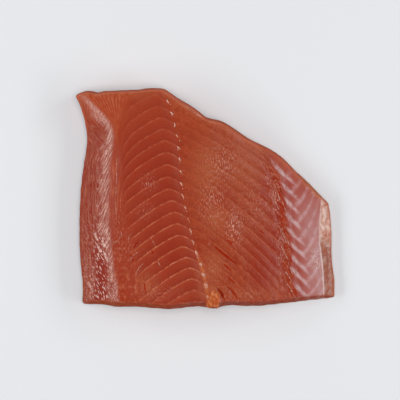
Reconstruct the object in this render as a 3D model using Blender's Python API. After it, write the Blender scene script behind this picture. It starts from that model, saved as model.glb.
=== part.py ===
"""A portion of coho salmon fillet, lying on its skin side with the flesh up.

+X runs from the back of the fish to its belly, +Y to its head, and +Z is up. The sizes
below are in millimetres, and the mesh is made in metres at the end. The origin is the
middle of the piece, on the surface that it lies on.
"""
import math

import bmesh
import bpy
import numpy as np
from mathutils import Vector, noise
from mathutils.geometry import delaunay_2d_cdt

MM = 0.001

# The five sides in plan, each a smooth curve through a few points (x, y), corner to corner
BACK_EDGE = ((-65.1, -55.8), (-64.8, -48.5), (-66.2, -30.0), (-66.6, -15.0), (-66.0, 2.5),
             (-64.4, 17.0), (-62.5, 30.5), (-63.3, 39.0), (-66.3, 49.6), (-68.6, 54.6))
NAPE_EDGE = ((-68.6, 54.6), (-65.0, 56.4), (-59.3, 56.7), (-57.4, 55.8), (-55.4, 56.5), (-47.0, 57.1),
             (-37.0, 57.5), (-26.5, 58.5), (-22.0, 58.2))
COLLAR_EDGE = ((-22.0, 58.2), (-13.4, 52.4), (-4.9, 47.4), (1.8, 42.5), (6.4, 41.6), (24.0, 31.2),
               (36.0, 25.2), (50.2, 12.6), (65.5, -2.7))
BELLY_EDGE = ((65.5, -2.7), (66.6, -13.0), (67.2, -33.0), (68.5, -45.0), (68.6, -52.5))
TAIL_EDGE = ((68.6, -52.5), (49.0, -54.7), (26.0, -56.9), (8.0, -57.3), (4.9, -58.4), (0.5, -57.4),
             (-20.0, -58.5), (-37.0, -57.2), (-48.6, -57.1), (-54.0, -56.2), (-65.1, -55.8))

# Lines that run the length of the fish, as points (y, x)
RIDGE = ((-54.8, -47.8), (-27.0, -49.4), (0.0, -48.9), (25.7, -48.3), (34.7, -49.4), (39.5, -52.0),
         (48.0, -60.0), (54.4, -66.6))
PIN_BONES = ((-58.0, 2.3), (-39.5, -1.2), (-22.5, -6.5), (-10.3, -9.1), (2.4, -12.0), (20.4, -13.4),
             (39.0, -16.0), (58.6, -22.4))
LOIN_EDGE = ((-54.8, -34.0), (-35.2, -38.3), (-22.0, -40.9), (-3.4, -44.6), (58.0, -46.0))
RIB_EDGE = ((-54.8, 50.2), (-45.0, 46.8), (-35.2, 45.6), (-25.0, 45.3), (-15.0, 43.5), (-0.8, 42.0),
            (9.8, 39.8), (17.2, 36.5), (24.0, 32.0), (30.0, 26.9))
BELLY_APEXES = ((-55.0, 53.6), (-42.4, 52.6), (-27.3, 50.7), (-19.8, 49.0), (-3.2, 47.2), (4.8, 45.6),
                (14.0, 43.0))
MEMBRANE_LINE = ((-52.7, 63.0), (-33.6, 61.9), (-24.6, 60.8), (-2.4, 61.4), (30.0, 64.0))

# Thickness across the fish. Steps of 1 run from the back edge to the ridge, the pin bones,
# the ends of the ribs, the membrane line and the belly edge.
SECTION = ((0.0, 5.0), (0.12, 9.0), (0.3, 12.6), (0.55, 15.2), (0.76, 17.8), (1.0, 20.2), (1.4, 22.0),
           (1.75, 22.2), (2.0, 21.4), (2.26, 20.4), (2.55, 17.6), (2.83, 13.6), (2.97, 11.0),
           (3.06, 9.2), (3.5, 8.4), (4.0, 7.2), (4.5, 5.6), (5.0, 3.2))
# The share of thickness lost towards the head, and the y where that starts and ends
HEAD_THINNING = (0.12, 15.0, 60.0)
# Depth and half width of the shallow valley along the pin bones
PIN_VALLEY = (0.7, 4.0)
# Depth, half width and x of the trough along the back, and the y where it fades in
BACK_TROUGH = (1.0, 2.6, -54.6)
TROUGH_FADE = (-12.0, -24.0)
# Height and size of the soft unevenness of the whole flesh side
ROLLING = (0.45, 26.0)
RIB_STEP = 0.6

# The flakes: sheets of tissue that cross the fish as a W, one to each pair of ribs
FLAKE_PITCH = 6.06
FIRST_PIN_Y = 63.2
FLAKE_COUNT = 21
APEX_BACK = 7.4
APEX_RISE = 3.6
LOIN_FALL = (0.248, 1.3)
APEX_FALL = (0.146, 1.6)
HEAD_STEEPENING = (0.04, 20.0)
STEEP_HEAD = (15.0, 45.0)
FLANK_FALL = (0.243, 0.00167, 1.3)
FLANK_ARCH = (1.5, 3.2)
# The septa lie a little further back through the middle: the share of a flake, and the y
# values between which that comes and goes
FLAKE_DRIFT = 0.22
DRIFT_COMES = (28.0, -4.0)
DRIFT_GOES = (-28.0, -48.0)
LOIN_RELIEF = 0.28
FLANK_RELIEF = 0.6
# How far the relief takes to fade in from the loin's edge, over the pin bones and on the flank
LOIN_FADE = 5.0
PIN_FADE = 4.0
FLANK_FADE = 14.0

# The belly's own V-shaped bands, which close up a little towards the tail
BELLY_PITCH = (8.4, 0.14)
BELLY_FIRST_Y = 13.0
BELLY_COUNT = 10
BELLY_SLOPES = (1.05, 0.45, 0.072)
BELLY_RELIEF = 0.4
BELLY_FADE = (67.0, 60.0)

# Places where the flakes gape: plan points, half width, depth
GAPES = (
    (((3.6, -24.1), (8.5, -27.6), (17.4, -35.2)), 0.9, 2.0),
    (((4.7, -19.3), (8.4, -22.0), (11.0, -24.6)), 0.8, 1.4),
    (((10.0, -34.7), (14.7, -39.5)), 0.7, 1.2),
    (((7.0, -48.2), (10.2, -53.6)), 1.0, 2.4),
    (((11.6, -46.3), (16.6, -53.0)), 0.9, 1.8),
    (((-38.4, -25.8), (-35.4, -23.0)), 0.8, 1.2),
    (((39.1, 5.8), (40.9, 1.2), (42.8, -2.9)), 0.9, 1.6),
    (((42.9, -14.5), (45.2, -24.0), (46.0, -30.4)), 1.0, 1.8),
    (((44.6, -36.4), (46.2, -41.2)), 0.9, 1.4),
)

# Each side's wall: how far its foot stands out past its top, how high the underside's edge
# curls up, and how far in that curl reaches
WALLS = {
    "back": (0.6, 2.2, 11.0),
    "nape": (1.3, 1.0, 5.0),
    "collar": (1.6, 1.0, 5.0),
    "belly": (0.4, 0.8, 6.0),
    "tail": (2.3, 0.9, 5.0),
}
SHOULDER = 1.3
# Rows down a wall: the share of the lean and shoulder still left, and of the height gone
WALL_ROWS = ((1.0, 1.0, 0.0), (1.0, 0.42, 0.03), (1.0, 0.0, 0.12), (0.82, 0.0, 0.38), (0.5, 0.0, 0.7),
             (0.0, 0.0, 1.0))
WALL_WAVE = (0.3, 7.0)

# Mesh spacing
RING_STEP = 2.05
CORNER_SPREAD = 3
LINE_STEP = 2.3
ROW_SHARES = (0.36, 0.7)
FIELD_STEP = 2.3
LEAST_GAP = 1.25
BASE_STEP = 7.0
SOLVE_ROUNDS = 16

FLESH_COLOUR = (0.33, 0.068, 0.038, 1.0)
FLESH_ROUGHNESS = 0.32


def smooth_curve(points, step):
    """Points about one step apart along a smooth curve through the given points."""
    given = np.array(points, float)
    chords = np.linalg.norm(np.diff(given, axis=0), axis=1)
    reach = np.concatenate([[0.0], np.cumsum(chords)])
    tangents = np.gradient(given, reach, axis=0)
    dense = []
    for i, chord in enumerate(chords):
        t = np.linspace(0.0, 1.0, 21)[:-1, None]
        start, end = given[i], given[i + 1]
        start_pull, end_pull = tangents[i] * chord, tangents[i + 1] * chord
        dense.append((2 * t**3 - 3 * t**2 + 1) * start + (t**3 - 2 * t**2 + t) * start_pull
                     + (3 * t**2 - 2 * t**3) * end + (t**3 - t**2) * end_pull)
    dense = np.vstack(dense + [given[-1:]])
    run = np.concatenate([[0.0], np.cumsum(np.linalg.norm(np.diff(dense, axis=0), axis=1))])
    count = max(2, round(run[-1] / step) + 1)
    even = np.linspace(0.0, run[-1], count)
    return np.stack([np.interp(even, run, dense[:, k]) for k in range(2)], axis=1)


def guide(points):
    """The x of a lengthwise line, as a function of y."""
    curve = smooth_curve(points, 0.8)
    order = np.argsort(curve[:, 0])
    return lambda y: np.interp(y, curve[order, 0], curve[order, 1])


ridge_x = guide(RIDGE)
pin_x = guide(PIN_BONES)
loin_edge_x = guide(LOIN_EDGE)
rib_edge_x = guide(RIB_EDGE)
membrane_x = guide(MEMBRANE_LINE)
belly_apex_x = guide(BELLY_APEXES)
back_x = guide([(y, x) for x, y in BACK_EDGE])
belly_x = guide([(y, x) for x, y in BELLY_EDGE])


def ease(low, high, value):
    """0 below low, 1 above high and a smooth rise between them."""
    t = np.clip((value - low) / (high - low), 0.0, 1.0)
    return t * t * (3.0 - 2.0 * t)


def waves(x, y, z, scale):
    """Smooth uneven values from about -1 to 1, with bumps of the given size."""
    return np.array([noise.noise(Vector((px, py, pz)) / scale) for px, py, pz in
                     zip(np.ravel(x), np.ravel(y), np.ravel(np.broadcast_to(z, np.shape(x))))])


def septum_lift(x, pin_y):
    """How much further headward a septum lies at x than where it meets the pin bones."""
    across = x - pin_x(pin_y)
    behind_apex = np.maximum(-across - APEX_BACK, 0.0)
    before_apex = np.clip(across + APEX_BACK, 0.0, APEX_BACK)
    steep, steep_from = HEAD_STEEPENING
    head_share = ease(*STEEP_HEAD, pin_y)
    loin = (APEX_RISE - LOIN_FALL[0] * behind_apex ** LOIN_FALL[1]
            - APEX_FALL[0] * before_apex ** APEX_FALL[1]
            - steep * head_share * np.maximum(-across - steep_from, 0.0) ** 2)
    out = np.maximum(across, 0.0)
    arch, arch_reach = FLANK_ARCH
    flank = (arch * out / arch_reach * np.exp(1.0 - out / arch_reach)
             - (FLANK_FALL[0] - FLANK_FALL[1] * pin_y) * out ** FLANK_FALL[2])
    return np.where(across < 0.0, loin, flank)


def pin_rank(pin_y):
    """The number of the flake that meets the pin bones at a y."""
    drift = FLAKE_DRIFT * (ease(*DRIFT_COMES, pin_y) - ease(*DRIFT_GOES, pin_y))
    return (FIRST_PIN_Y - pin_y) / FLAKE_PITCH - drift


def flake_rank(x, y):
    """Which flake a plan point lies in: whole numbers are the septa between flakes."""
    pin_y = np.array(y, float)
    for _ in range(SOLVE_ROUNDS):
        pin_y = y - septum_lift(x, pin_y)
    return pin_rank(pin_y)


def belly_lift(x, apex_y):
    """How much further headward a belly band's edge lies at x than its own apex."""
    across = x - belly_apex_x(apex_y)
    inner, outer, curl = BELLY_SLOPES
    out = np.maximum(across, 0.0)
    return inner * np.maximum(-across, 0.0) + outer * out + curl * out * out


def belly_apex_y(rank):
    """The y of a belly band's apex."""
    pitch, closing = BELLY_PITCH
    return BELLY_FIRST_Y - pitch * rank + 0.5 * closing * rank * rank


def belly_rank(x, y):
    """Which V-shaped belly band a plan point lies in."""
    pitch, closing = BELLY_PITCH
    apex_y = np.array(y, float)
    for _ in range(SOLVE_ROUNDS):
        apex_y = y - belly_lift(x, apex_y)
    under_root = np.maximum(pitch ** 2 - 2.0 * closing * (BELLY_FIRST_Y - apex_y), 0.0)
    return (pitch - np.sqrt(under_root)) / closing


def section_place(x, y):
    """Where a plan point lies across the fish, in the steps that SECTION uses."""
    stations = [back_x(y), ridge_x(y), pin_x(y), rib_edge_x(y), membrane_x(y), belly_x(y)]
    place = np.zeros(np.shape(x))
    for near, far in zip(stations, stations[1:]):
        place = place + np.clip((x - near) / np.maximum(far - near, 1.0), 0.0, 1.0)
    return place


def distance_to(path, x, y, closed=False):
    """The shortest plan distance from each point to a path."""
    path = np.array(path, float)
    ends = np.roll(path, -1, axis=0) if closed else path[1:]
    starts = path if closed else path[:-1]
    best = np.full(np.shape(x), np.inf)
    for (ax, ay), (bx, by) in zip(starts, ends):
        run = max((bx - ax) ** 2 + (by - ay) ** 2, 1e-9)
        t = np.clip(((x - ax) * (bx - ax) + (y - ay) * (by - ay)) / run, 0.0, 1.0)
        best = np.minimum(best, np.hypot(x - ax - t * (bx - ax), y - ay - t * (by - ay)))
    return best


def inside(ring, x, y):
    """True for the plan points that lie inside a closed ring."""
    odd = np.zeros(np.shape(x), bool)
    for (ax, ay), (bx, by) in zip(ring, np.roll(ring, -1, axis=0)):
        if ay == by:
            continue
        crosses = ((ay > y) != (by > y)) & (x < ax + (y - ay) * (bx - ax) / (by - ay))
        odd ^= crosses
    return odd


def pillow(rank):
    """The rounded back of a flake: 0 at its edges and 1 over its middle."""
    share = rank - np.floor(rank)
    return np.sqrt(np.clip(4.0 * share * (1.0 - share), 0.0, 1.0))


def top_height(x, y):
    """The flesh side's height over the surface that the piece lies on."""
    curve = smooth_curve(SECTION, 0.05)
    height = np.interp(section_place(x, y), curve[:, 0], curve[:, 1])
    thinning, thin_from, thin_to = HEAD_THINNING
    height = height * (1.0 - thinning * ease(thin_from, thin_to, y))
    height = height - PIN_VALLEY[0] * np.exp(-((x - pin_x(y)) / PIN_VALLEY[1]) ** 2)
    depth, width, trough_x = BACK_TROUGH
    height = height - depth * ease(*TROUGH_FADE, y) * np.exp(-((x - trough_x) / width) ** 2)
    height = height + ROLLING[0] * waves(x, y, 3.0, ROLLING[1])

    on_belly = ease(-RIB_STEP, RIB_STEP, x - rib_edge_x(y))
    past_pins = x - pin_x(y)
    loin_share = ease(0.0, LOIN_FADE, x - loin_edge_x(y)) * (1.0 - ease(-PIN_FADE, PIN_FADE, past_pins))
    flank_share = ease(-PIN_FADE, FLANK_FADE, past_pins) * (1.0 - on_belly)
    height = height + (LOIN_RELIEF * loin_share + FLANK_RELIEF * flank_share) * pillow(flake_rank(x, y))
    height = height + BELLY_RELIEF * on_belly * ease(*BELLY_FADE, x) * pillow(belly_rank(x, y))
    for path, half_width, depth in GAPES:
        height = height - depth * np.clip(1.0 - distance_to(path, x, y) / half_width, 0.0, 1.0)
    return height


def outline():
    """The plan outline, anticlockwise, with each point's lean, underside lift and curl reach."""
    sides = (("nape", NAPE_EDGE), ("collar", COLLAR_EDGE), ("belly", BELLY_EDGE),
             ("tail", TAIL_EDGE), ("back", BACK_EDGE))
    points, traits = [], []
    for name, edge in sides:
        side = smooth_curve(edge, RING_STEP)[:-1]
        points.append(side)
        traits.append(np.repeat([WALLS[name]], len(side), axis=0))
    points = np.vstack(points)[::-1]
    traits = np.vstack(traits)[::-1]
    spread = range(-CORNER_SPREAD, CORNER_SPREAD + 1)
    traits = np.mean([np.roll(traits, k, axis=0) for k in spread], axis=0)
    tangent = np.mean([np.roll(points, k - 1, axis=0) - np.roll(points, k + 1, axis=0) for k in spread], axis=0)
    outward = np.stack([tangent[:, 1], -tangent[:, 0]], axis=1)
    outward /= np.linalg.norm(outward, axis=1)[:, None]
    return points, outward, traits


class Plan:
    """Plan points and the lines between them that the mesh has to follow."""

    def __init__(self, ring):
        self.ring = ring
        self.points = [tuple(p) for p in ring]
        self.lines = []
        self.cells = {}
        for index, point in enumerate(self.points):
            self.cells.setdefault(self.cell(point), []).append(index)

    def cell(self, point):
        return math.floor(point[0] / LEAST_GAP), math.floor(point[1] / LEAST_GAP)

    def crowded(self, point, gap):
        cx, cy = self.cell(point)
        for i in range(cx - 1, cx + 2):
            for j in range(cy - 1, cy + 2):
                for index in self.cells.get((i, j), ()):
                    if math.dist(self.points[index], point) < gap:
                        return True
        return False

    def add(self, points, joined, gap=LEAST_GAP):
        points = np.array(points, float).reshape(-1, 2)
        free = inside(self.ring, points[:, 0], points[:, 1])
        free &= distance_to(self.ring, points[:, 0], points[:, 1], closed=True) > LEAST_GAP * 0.8
        before = None
        for point, ok in zip(points, free):
            point = tuple(point)
            if not ok or self.crowded(point, gap):
                before = None
                continue
            index = len(self.points)
            self.points.append(point)
            self.cells.setdefault(self.cell(point), []).append(index)
            if joined and before is not None:
                self.lines.append((before, index))
            before = index

    def triangles(self):
        ring_face = [list(range(len(self.ring)))]
        vertices, _, faces, _, _, _ = delaunay_2d_cdt([Vector(p) for p in self.points], self.lines,
                                                      ring_face, 1, 1e-5)
        return np.array([tuple(v) for v in vertices]), [tuple(f) for f in faces]


def top_plan(ring):
    """The flesh side in plan: gapes, septa, the lines along the fish, then an even field."""
    plan = Plan(ring)
    for path, half_width, _ in GAPES:
        middle = smooth_curve(path, LINE_STEP * 0.8) if len(path) > 2 else np.array(path)
        along = np.gradient(middle, axis=0)
        side = np.stack([along[:, 1], -along[:, 0]], axis=1)
        side *= half_width / np.linalg.norm(side, axis=1)[:, None]
        plan.add(middle, joined=True, gap=0.5)
        for edge in (middle + side, middle - side):
            plan.add(edge, joined=True, gap=0.6)
    levels = np.arange(-57.0, 57.0, LINE_STEP)
    for line in (ridge_x(levels), rib_edge_x(levels) - 0.7, rib_edge_x(levels) + 0.8):
        plan.add(np.stack([line, levels], axis=1), joined=True, gap=1.0)
    pin_levels = FIRST_PIN_Y - FLAKE_PITCH * np.arange(0.0, FLAKE_COUNT + 1.0, 0.02)
    pin_ranks = pin_rank(pin_levels)
    for rank in range(FLAKE_COUNT):
        for share in (0.0,) + ROW_SHARES:
            pin_y = np.interp(rank + share, pin_ranks, pin_levels)
            across = np.arange(-70.0, 60.0, LINE_STEP) + pin_x(pin_y)
            level = pin_y + septum_lift(across, pin_y)
            keep = (across > loin_edge_x(level) + 1.0) & (across < rib_edge_x(level) - 1.6)
            plan.add(np.stack([across, level], axis=1)[keep], joined=share == 0.0)
    for rank in range(BELLY_COUNT):
        for share in (0.0, 0.5):
            apex_y = belly_apex_y(rank + share)
            across = belly_apex_x(apex_y) + np.arange(-12.0, 26.0, LINE_STEP * 0.8)
            level = apex_y + belly_lift(across, apex_y)
            keep = across > rib_edge_x(level) + 1.6
            plan.add(np.stack([across, level], axis=1)[keep], joined=share == 0.0)
    field = np.mgrid[-70.0:70.0:FIELD_STEP, -60.0:60.0:FIELD_STEP].reshape(2, -1).T
    field[:, 1] += (np.round(field[:, 0] / FIELD_STEP) % 2) * FIELD_STEP / 2
    plan.add(field, joined=False, gap=LEAST_GAP * 0.98)
    return plan


def underside_height(edge_ring, traits, x, y):
    """The skin side: flat where it rests, curled up a little towards the edges."""
    height = np.zeros(len(x))
    for i, (px, py) in enumerate(zip(x, y)):
        gaps = np.hypot(edge_ring[:, 0] - px, edge_ring[:, 1] - py)
        nearest = int(np.argmin(gaps))
        _, lift, reach = traits[nearest]
        height[i] = lift * max(0.0, 1.0 - gaps[nearest] / reach) ** 2
    return height


def build_fillet():
    """One closed mesh: the flesh side, the cut and trimmed walls, and the skin side."""
    edge, outward, traits = outline()
    lean, lift = traits[:, 0], traits[:, 1]
    crest = edge - outward * (lean + SHOULDER)[:, None]
    crest_height = top_height(crest[:, 0], crest[:, 1])

    mesh = bmesh.new()
    rings = []
    for lean_left, shoulder_left, gone in WALL_ROWS:
        inset = lean * lean_left + SHOULDER * shoulder_left
        height = crest_height + (lift - crest_height) * gone
        wave = WALL_WAVE[0] * waves(edge[:, 0], edge[:, 1], height, WALL_WAVE[1])
        inset = inset + np.abs(wave) * (0.0 < gone < 1.0)
        place = edge - outward * inset[:, None]
        rings.append([mesh.verts.new((x * MM, y * MM, z * MM))
                      for (x, y), z in zip(place, height)])
    for upper, lower in zip(rings, rings[1:]):
        for i in range(len(upper)):
            j = (i + 1) % len(upper)
            mesh.faces.new((upper[i], lower[i], upper[j]))
            mesh.faces.new((upper[j], lower[i], lower[j]))

    flat, triangles = top_plan(crest).triangles()
    heights = top_height(flat[:, 0], flat[:, 1])
    close(mesh, rings[0], flat, heights, triangles)

    base = Plan(edge)
    for inset in (2.4, 5.5, 10.0):
        base.add((edge - outward * inset)[::2], joined=False, gap=LEAST_GAP)
    base.add(np.mgrid[-66.0:66.0:BASE_STEP, -54.0:56.0:BASE_STEP].reshape(2, -1).T, joined=False, gap=1.2)
    flat, triangles = base.triangles()
    heights = underside_height(edge, traits, flat[:, 0], flat[:, 1])
    close(mesh, rings[-1], flat, heights, triangles)

    bmesh.ops.triangulate(mesh, faces=mesh.faces[:])
    bmesh.ops.recalc_face_normals(mesh, faces=mesh.faces[:])
    return mesh


def close(mesh, ring, flat, heights, triangles):
    """Add one face of the piece, joined to the ring whose points come first in its plan."""
    vertices = list(ring)
    for (x, y), z in zip(flat[len(ring):], heights[len(ring):]):
        vertices.append(mesh.verts.new((x * MM, y * MM, z * MM)))
    for triangle in triangles:
        mesh.faces.new([vertices[k] for k in triangle])


def flesh_material():
    material = bpy.data.materials.new("salmon_flesh")
    material.use_nodes = True
    shader = material.node_tree.nodes["Principled BSDF"]
    shader.inputs["Base Color"].default_value = FLESH_COLOUR
    shader.inputs["Roughness"].default_value = FLESH_ROUGHNESS
    shader.inputs["Metallic"].default_value = 0.0
    return material


def main():
    for item in list(bpy.data.objects):
        bpy.data.objects.remove(item, do_unlink=True)
    solid = build_fillet()
    data = bpy.data.meshes.new("fillet")
    solid.to_mesh(data)
    solid.free()
    data.materials.append(flesh_material())
    data.shade_smooth()
    data.set_sharp_from_angle(angle=math.radians(50.0))
    fillet = bpy.data.objects.new("fillet", data)
    bpy.context.collection.objects.link(fillet)


main()
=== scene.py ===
# %% [markdown]
# # A raw coho salmon fillet, flesh side up
#
# The solid model gives the fillet's outline, thickness and low relief. This lesson dresses
# it: the flesh with its flakes, the pale belly strip, the wet band along the back with its
# painted highlight, the skin underneath, and the pin-bone ends. Sizes are in millimetres
# until a mesh is made.

# %% Load the solid and note its box
import math

import bmesh
import bpy
import numpy as np
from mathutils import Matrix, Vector, noise


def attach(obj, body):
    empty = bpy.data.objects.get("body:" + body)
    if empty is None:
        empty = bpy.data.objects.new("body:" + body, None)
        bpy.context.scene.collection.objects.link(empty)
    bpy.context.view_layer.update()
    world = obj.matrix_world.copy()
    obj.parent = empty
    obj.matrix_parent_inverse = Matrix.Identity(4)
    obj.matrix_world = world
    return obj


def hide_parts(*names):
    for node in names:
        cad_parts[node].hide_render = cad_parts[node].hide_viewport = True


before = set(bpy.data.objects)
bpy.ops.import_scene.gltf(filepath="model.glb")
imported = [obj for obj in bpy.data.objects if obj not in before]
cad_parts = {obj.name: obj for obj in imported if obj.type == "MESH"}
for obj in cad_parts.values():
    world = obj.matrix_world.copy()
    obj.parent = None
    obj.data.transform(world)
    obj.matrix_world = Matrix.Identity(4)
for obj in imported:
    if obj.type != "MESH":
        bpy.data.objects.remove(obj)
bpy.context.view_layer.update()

MM = 0.001

# %% [markdown]
# ## Camera
#
# The picture was taken from straight above with a long lens. One pixel of it is 0.53 mm on
# the fillet, so the lens follows from the camera's height and the width that 400 pixels
# cover. A perspective camera is used rather than a flat one, because the walls that lean
# outwards then show as they do from a real tripod.

# %% Set the camera above the fillet
PIXEL_MM = 0.53
PICTURE_PIXELS = 400
FILLET_MIDDLE_PIXEL = (205.2, 198.55)
CAMERA_HEIGHT = 2400.0
FOCUS_HEIGHT = 8.0
CLIP = (0.01, 10.0)

camera_data = bpy.data.cameras.new("overhead_camera")
camera = bpy.data.objects.new("overhead_camera", camera_data)
bpy.context.scene.collection.objects.link(camera)
half_picture = PICTURE_PIXELS / 2
camera.location = ((half_picture - FILLET_MIDDLE_PIXEL[0]) * PIXEL_MM * MM,
                   (FILLET_MIDDLE_PIXEL[1] - half_picture) * PIXEL_MM * MM, CAMERA_HEIGHT * MM)
camera_data.lens = camera_data.sensor_width * (CAMERA_HEIGHT - FOCUS_HEIGHT) / (PICTURE_PIXELS * PIXEL_MM)
camera_data.clip_start, camera_data.clip_end = CLIP
bpy.context.scene.camera = camera
bpy.context.scene.view_settings.view_transform = "Standard"
print("lens, mm:", round(camera_data.lens, 1))

# %% [markdown]
# ## Floor and lights
#
# Wet fish shows its shape by what it mirrors. Two long soft boxes stand low on the left and
# the right, so only slopes that face them shine. Most of the light comes from a large box
# overhead. Mirrored from above, it would lay a grey veil over every level part, so glossy
# rays don't see it: that stands for the polarising filter a studio would use.

# %% Lay the floor and hang the lights
FLOOR_COLOUR = (0.80, 0.81, 0.83, 1.0)
FLOOR_SIZE, FLOOR_ROUGHNESS = 4.0, 0.6
SURROUND = (0.92, 0.95, 1.0, 1.0)
SURROUND_STRENGTH = 0.16
SIDE_BOX = (1.4, 0.34)
SIDE_DISTANCE = 1.15
LEFT_ELEVATION, LEFT_WATTS = 33.0, 6.5
RIGHT_ELEVATION, RIGHT_WATTS = 33.0, 6.0
TOP_BOX = (1.6, 1.6)
TOP_HEIGHT, TOP_WATTS = 2.9, 40.0


def lay_floor():
    bpy.ops.mesh.primitive_plane_add(size=FLOOR_SIZE)
    floor = bpy.context.object
    floor.name = "floor"
    material = bpy.data.materials.new("pale_floor")
    material.use_nodes = True
    shader = material.node_tree.nodes["Principled BSDF"]
    shader.inputs["Base Color"].default_value = FLOOR_COLOUR
    shader.inputs["Roughness"].default_value = FLOOR_ROUGHNESS
    floor.data.materials.append(material)


def hang_light(name, place, size, watts):
    """A soft box at a place, turned towards the fillet."""
    data = bpy.data.lights.new(name, "AREA")
    data.shape = "RECTANGLE"
    data.size, data.size_y = size
    data.energy = watts
    light = bpy.data.objects.new(name, data)
    light.location = place
    light.rotation_euler = (-light.location).to_track_quat("-Z", "Y").to_euler()
    bpy.context.scene.collection.objects.link(light)
    return light


def beside(side, elevation):
    """A place beside the fillet: side is -1 for the left and 1 for the right."""
    angle = math.radians(elevation)
    return Vector((side * math.cos(angle), 0.0, math.sin(angle))) * SIDE_DISTANCE


lay_floor()
hang_light("left_box", beside(-1, LEFT_ELEVATION), SIDE_BOX, LEFT_WATTS)
hang_light("right_box", beside(1, RIGHT_ELEVATION), SIDE_BOX, RIGHT_WATTS)
top_box = hang_light("top_box", Vector((0.0, 0.0, TOP_HEIGHT)), TOP_BOX, TOP_WATTS)
top_box.visible_glossy = False
world = bpy.data.worlds.new("studio_surround")
world.use_nodes = True
world.node_tree.nodes["Background"].inputs["Color"].default_value = SURROUND
world.node_tree.nodes["Background"].inputs["Strength"].default_value = SURROUND_STRENGTH
bpy.context.scene.world = world
print("lights:", [light.name for light in bpy.data.lights])

# %% [markdown]
# ## A fine copy of the solid
#
# The solid's faces are 2 mm across, far too coarse for flesh. A voxel remesh gives an even
# net of small squares that follows the same form, and a few rounds of smoothing melt the
# facets away. Subdividing the solid would keep its long thin triangles, and they would show
# in every highlight.

# %% Remesh the solid finely
VOXEL = 0.62
SMOOTH_FACTOR, SMOOTH_ROUNDS = 0.5, 9
SAME_POINT = 0.001


def after_modifiers(mesh, *modifiers):
    """The mesh as it is once each modifier, given as its kind and settings, has worked on it."""
    maker = bpy.data.objects.new("maker", mesh)
    bpy.context.scene.collection.objects.link(maker)
    for kind, settings in modifiers:
        modifier = maker.modifiers.new(kind.lower(), kind)
        for name, value in settings.items():
            setattr(modifier, name, value)
    graph = bpy.context.evaluated_depsgraph_get()
    finished = bpy.data.meshes.new_from_object(maker.evaluated_get(graph))
    bpy.data.objects.remove(maker)
    return finished


def fine_copy(node):
    """The node's form as an even net of small squares."""
    net = bmesh.new()
    net.from_mesh(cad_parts[node].data)
    bmesh.ops.remove_doubles(net, verts=net.verts, dist=MM * SAME_POINT)
    mesh = bpy.data.meshes.new("fine_" + node)
    net.to_mesh(mesh)
    net.free()
    return after_modifiers(mesh, ("REMESH", {"mode": "VOXEL", "voxel_size": VOXEL * MM}),
                           ("SMOOTH", {"factor": SMOOTH_FACTOR, "iterations": SMOOTH_ROUNDS}))


flesh_mesh = fine_copy("fillet")
print("fine net:", len(flesh_mesh.vertices), "points,", len(flesh_mesh.polygons), "squares")

# %% [markdown]
# ## The map of the fish
#
# A side of salmon is drawn by its anatomy. Sheets of tissue, the septa, cross it in a W:
# they rise to a blunt point just behind the pin bones, fall away to the back, and sweep down
# the flank. Numbering the flakes as a smooth function of place gives one value that draws
# every line: a septum lies wherever the number is whole. The same numbers place the relief
# and the colours, so they always agree.

# %% Lines that run the length of the fish
RIDGE = ((-54.8, -45.6), (-46.0, -46.2), (-35.7, -48.3), (-25.0, -48.9), (-14.5, -50.2), (-4.0, -50.6),
         (6.7, -50.2), (17.3, -50.2), (27.0, -48.7), (35.3, -48.6), (39.5, -49.6), (43.8, -52.8),
         (48.0, -56.8), (54.4, -63.0))
PIN_BONES = ((-58.0, 2.3), (-39.5, -1.2), (-22.5, -6.5), (-10.3, -9.1), (2.4, -12.0), (20.4, -13.4),
             (39.0, -16.0), (58.6, -22.4))
LOIN_EDGE = ((-54.8, -34.0), (-35.2, -38.3), (-22.0, -40.9), (-3.4, -44.6), (34.0, -46.0), (58.0, -41.0))
RIB_EDGE = ((-54.8, 50.2), (-45.0, 46.8), (-35.2, 45.6), (-25.0, 45.3), (-15.0, 43.5), (-0.8, 42.0),
            (9.8, 39.8), (17.2, 36.5), (24.0, 32.0), (30.0, 26.9))
BELLY_APEXES = ((-55.0, 53.6), (-42.4, 52.6), (-27.3, 50.7), (-19.8, 49.0), (-3.2, 47.2), (4.8, 45.6),
                (14.0, 43.0))
BACK_EDGE = ((-55.8, -65.1), (-48.5, -64.8), (-30.0, -66.2), (-15.0, -66.6), (2.5, -66.0), (17.0, -64.4),
             (30.5, -62.5), (39.0, -63.3), (49.6, -66.3), (54.6, -68.6))
MEMBRANE_LINE = ((-52.7, 63.0), (-33.6, 61.9), (-24.6, 60.8), (-2.4, 61.4), (30.0, 64.0))


def smooth_through(places, values):
    """A smooth curve through values at rising places; beyond the last place it holds its value."""
    places, values = np.array(places, float), np.array(values, float)
    slope = np.gradient(values, places, axis=0)

    def value_at(place):
        place = np.clip(place, places[0], places[-1])
        i = np.clip(np.searchsorted(places, place) - 1, 0, len(places) - 2)
        span = places[i + 1] - places[i]
        t = (place - places[i]) / span
        if values.ndim == 2:
            span, t = span[:, None], t[:, None]
        return ((2 * t**3 - 3 * t**2 + 1) * values[i] + (t**3 - 2 * t**2 + t) * span * slope[i]
                + (3 * t**2 - 2 * t**3) * values[i + 1] + (t**3 - t**2) * span * slope[i + 1])

    return value_at


back_x, ridge_x, pin_x, loin_edge_x, rib_edge_x, belly_apex_x, membrane_x = (
    smooth_through(*zip(*sorted(line)))
    for line in (BACK_EDGE, RIDGE, PIN_BONES, LOIN_EDGE, RIB_EDGE, BELLY_APEXES, MEMBRANE_LINE))
print("pin bones at mid length, mm:", round(float(pin_x(0.0)), 1))

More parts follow.
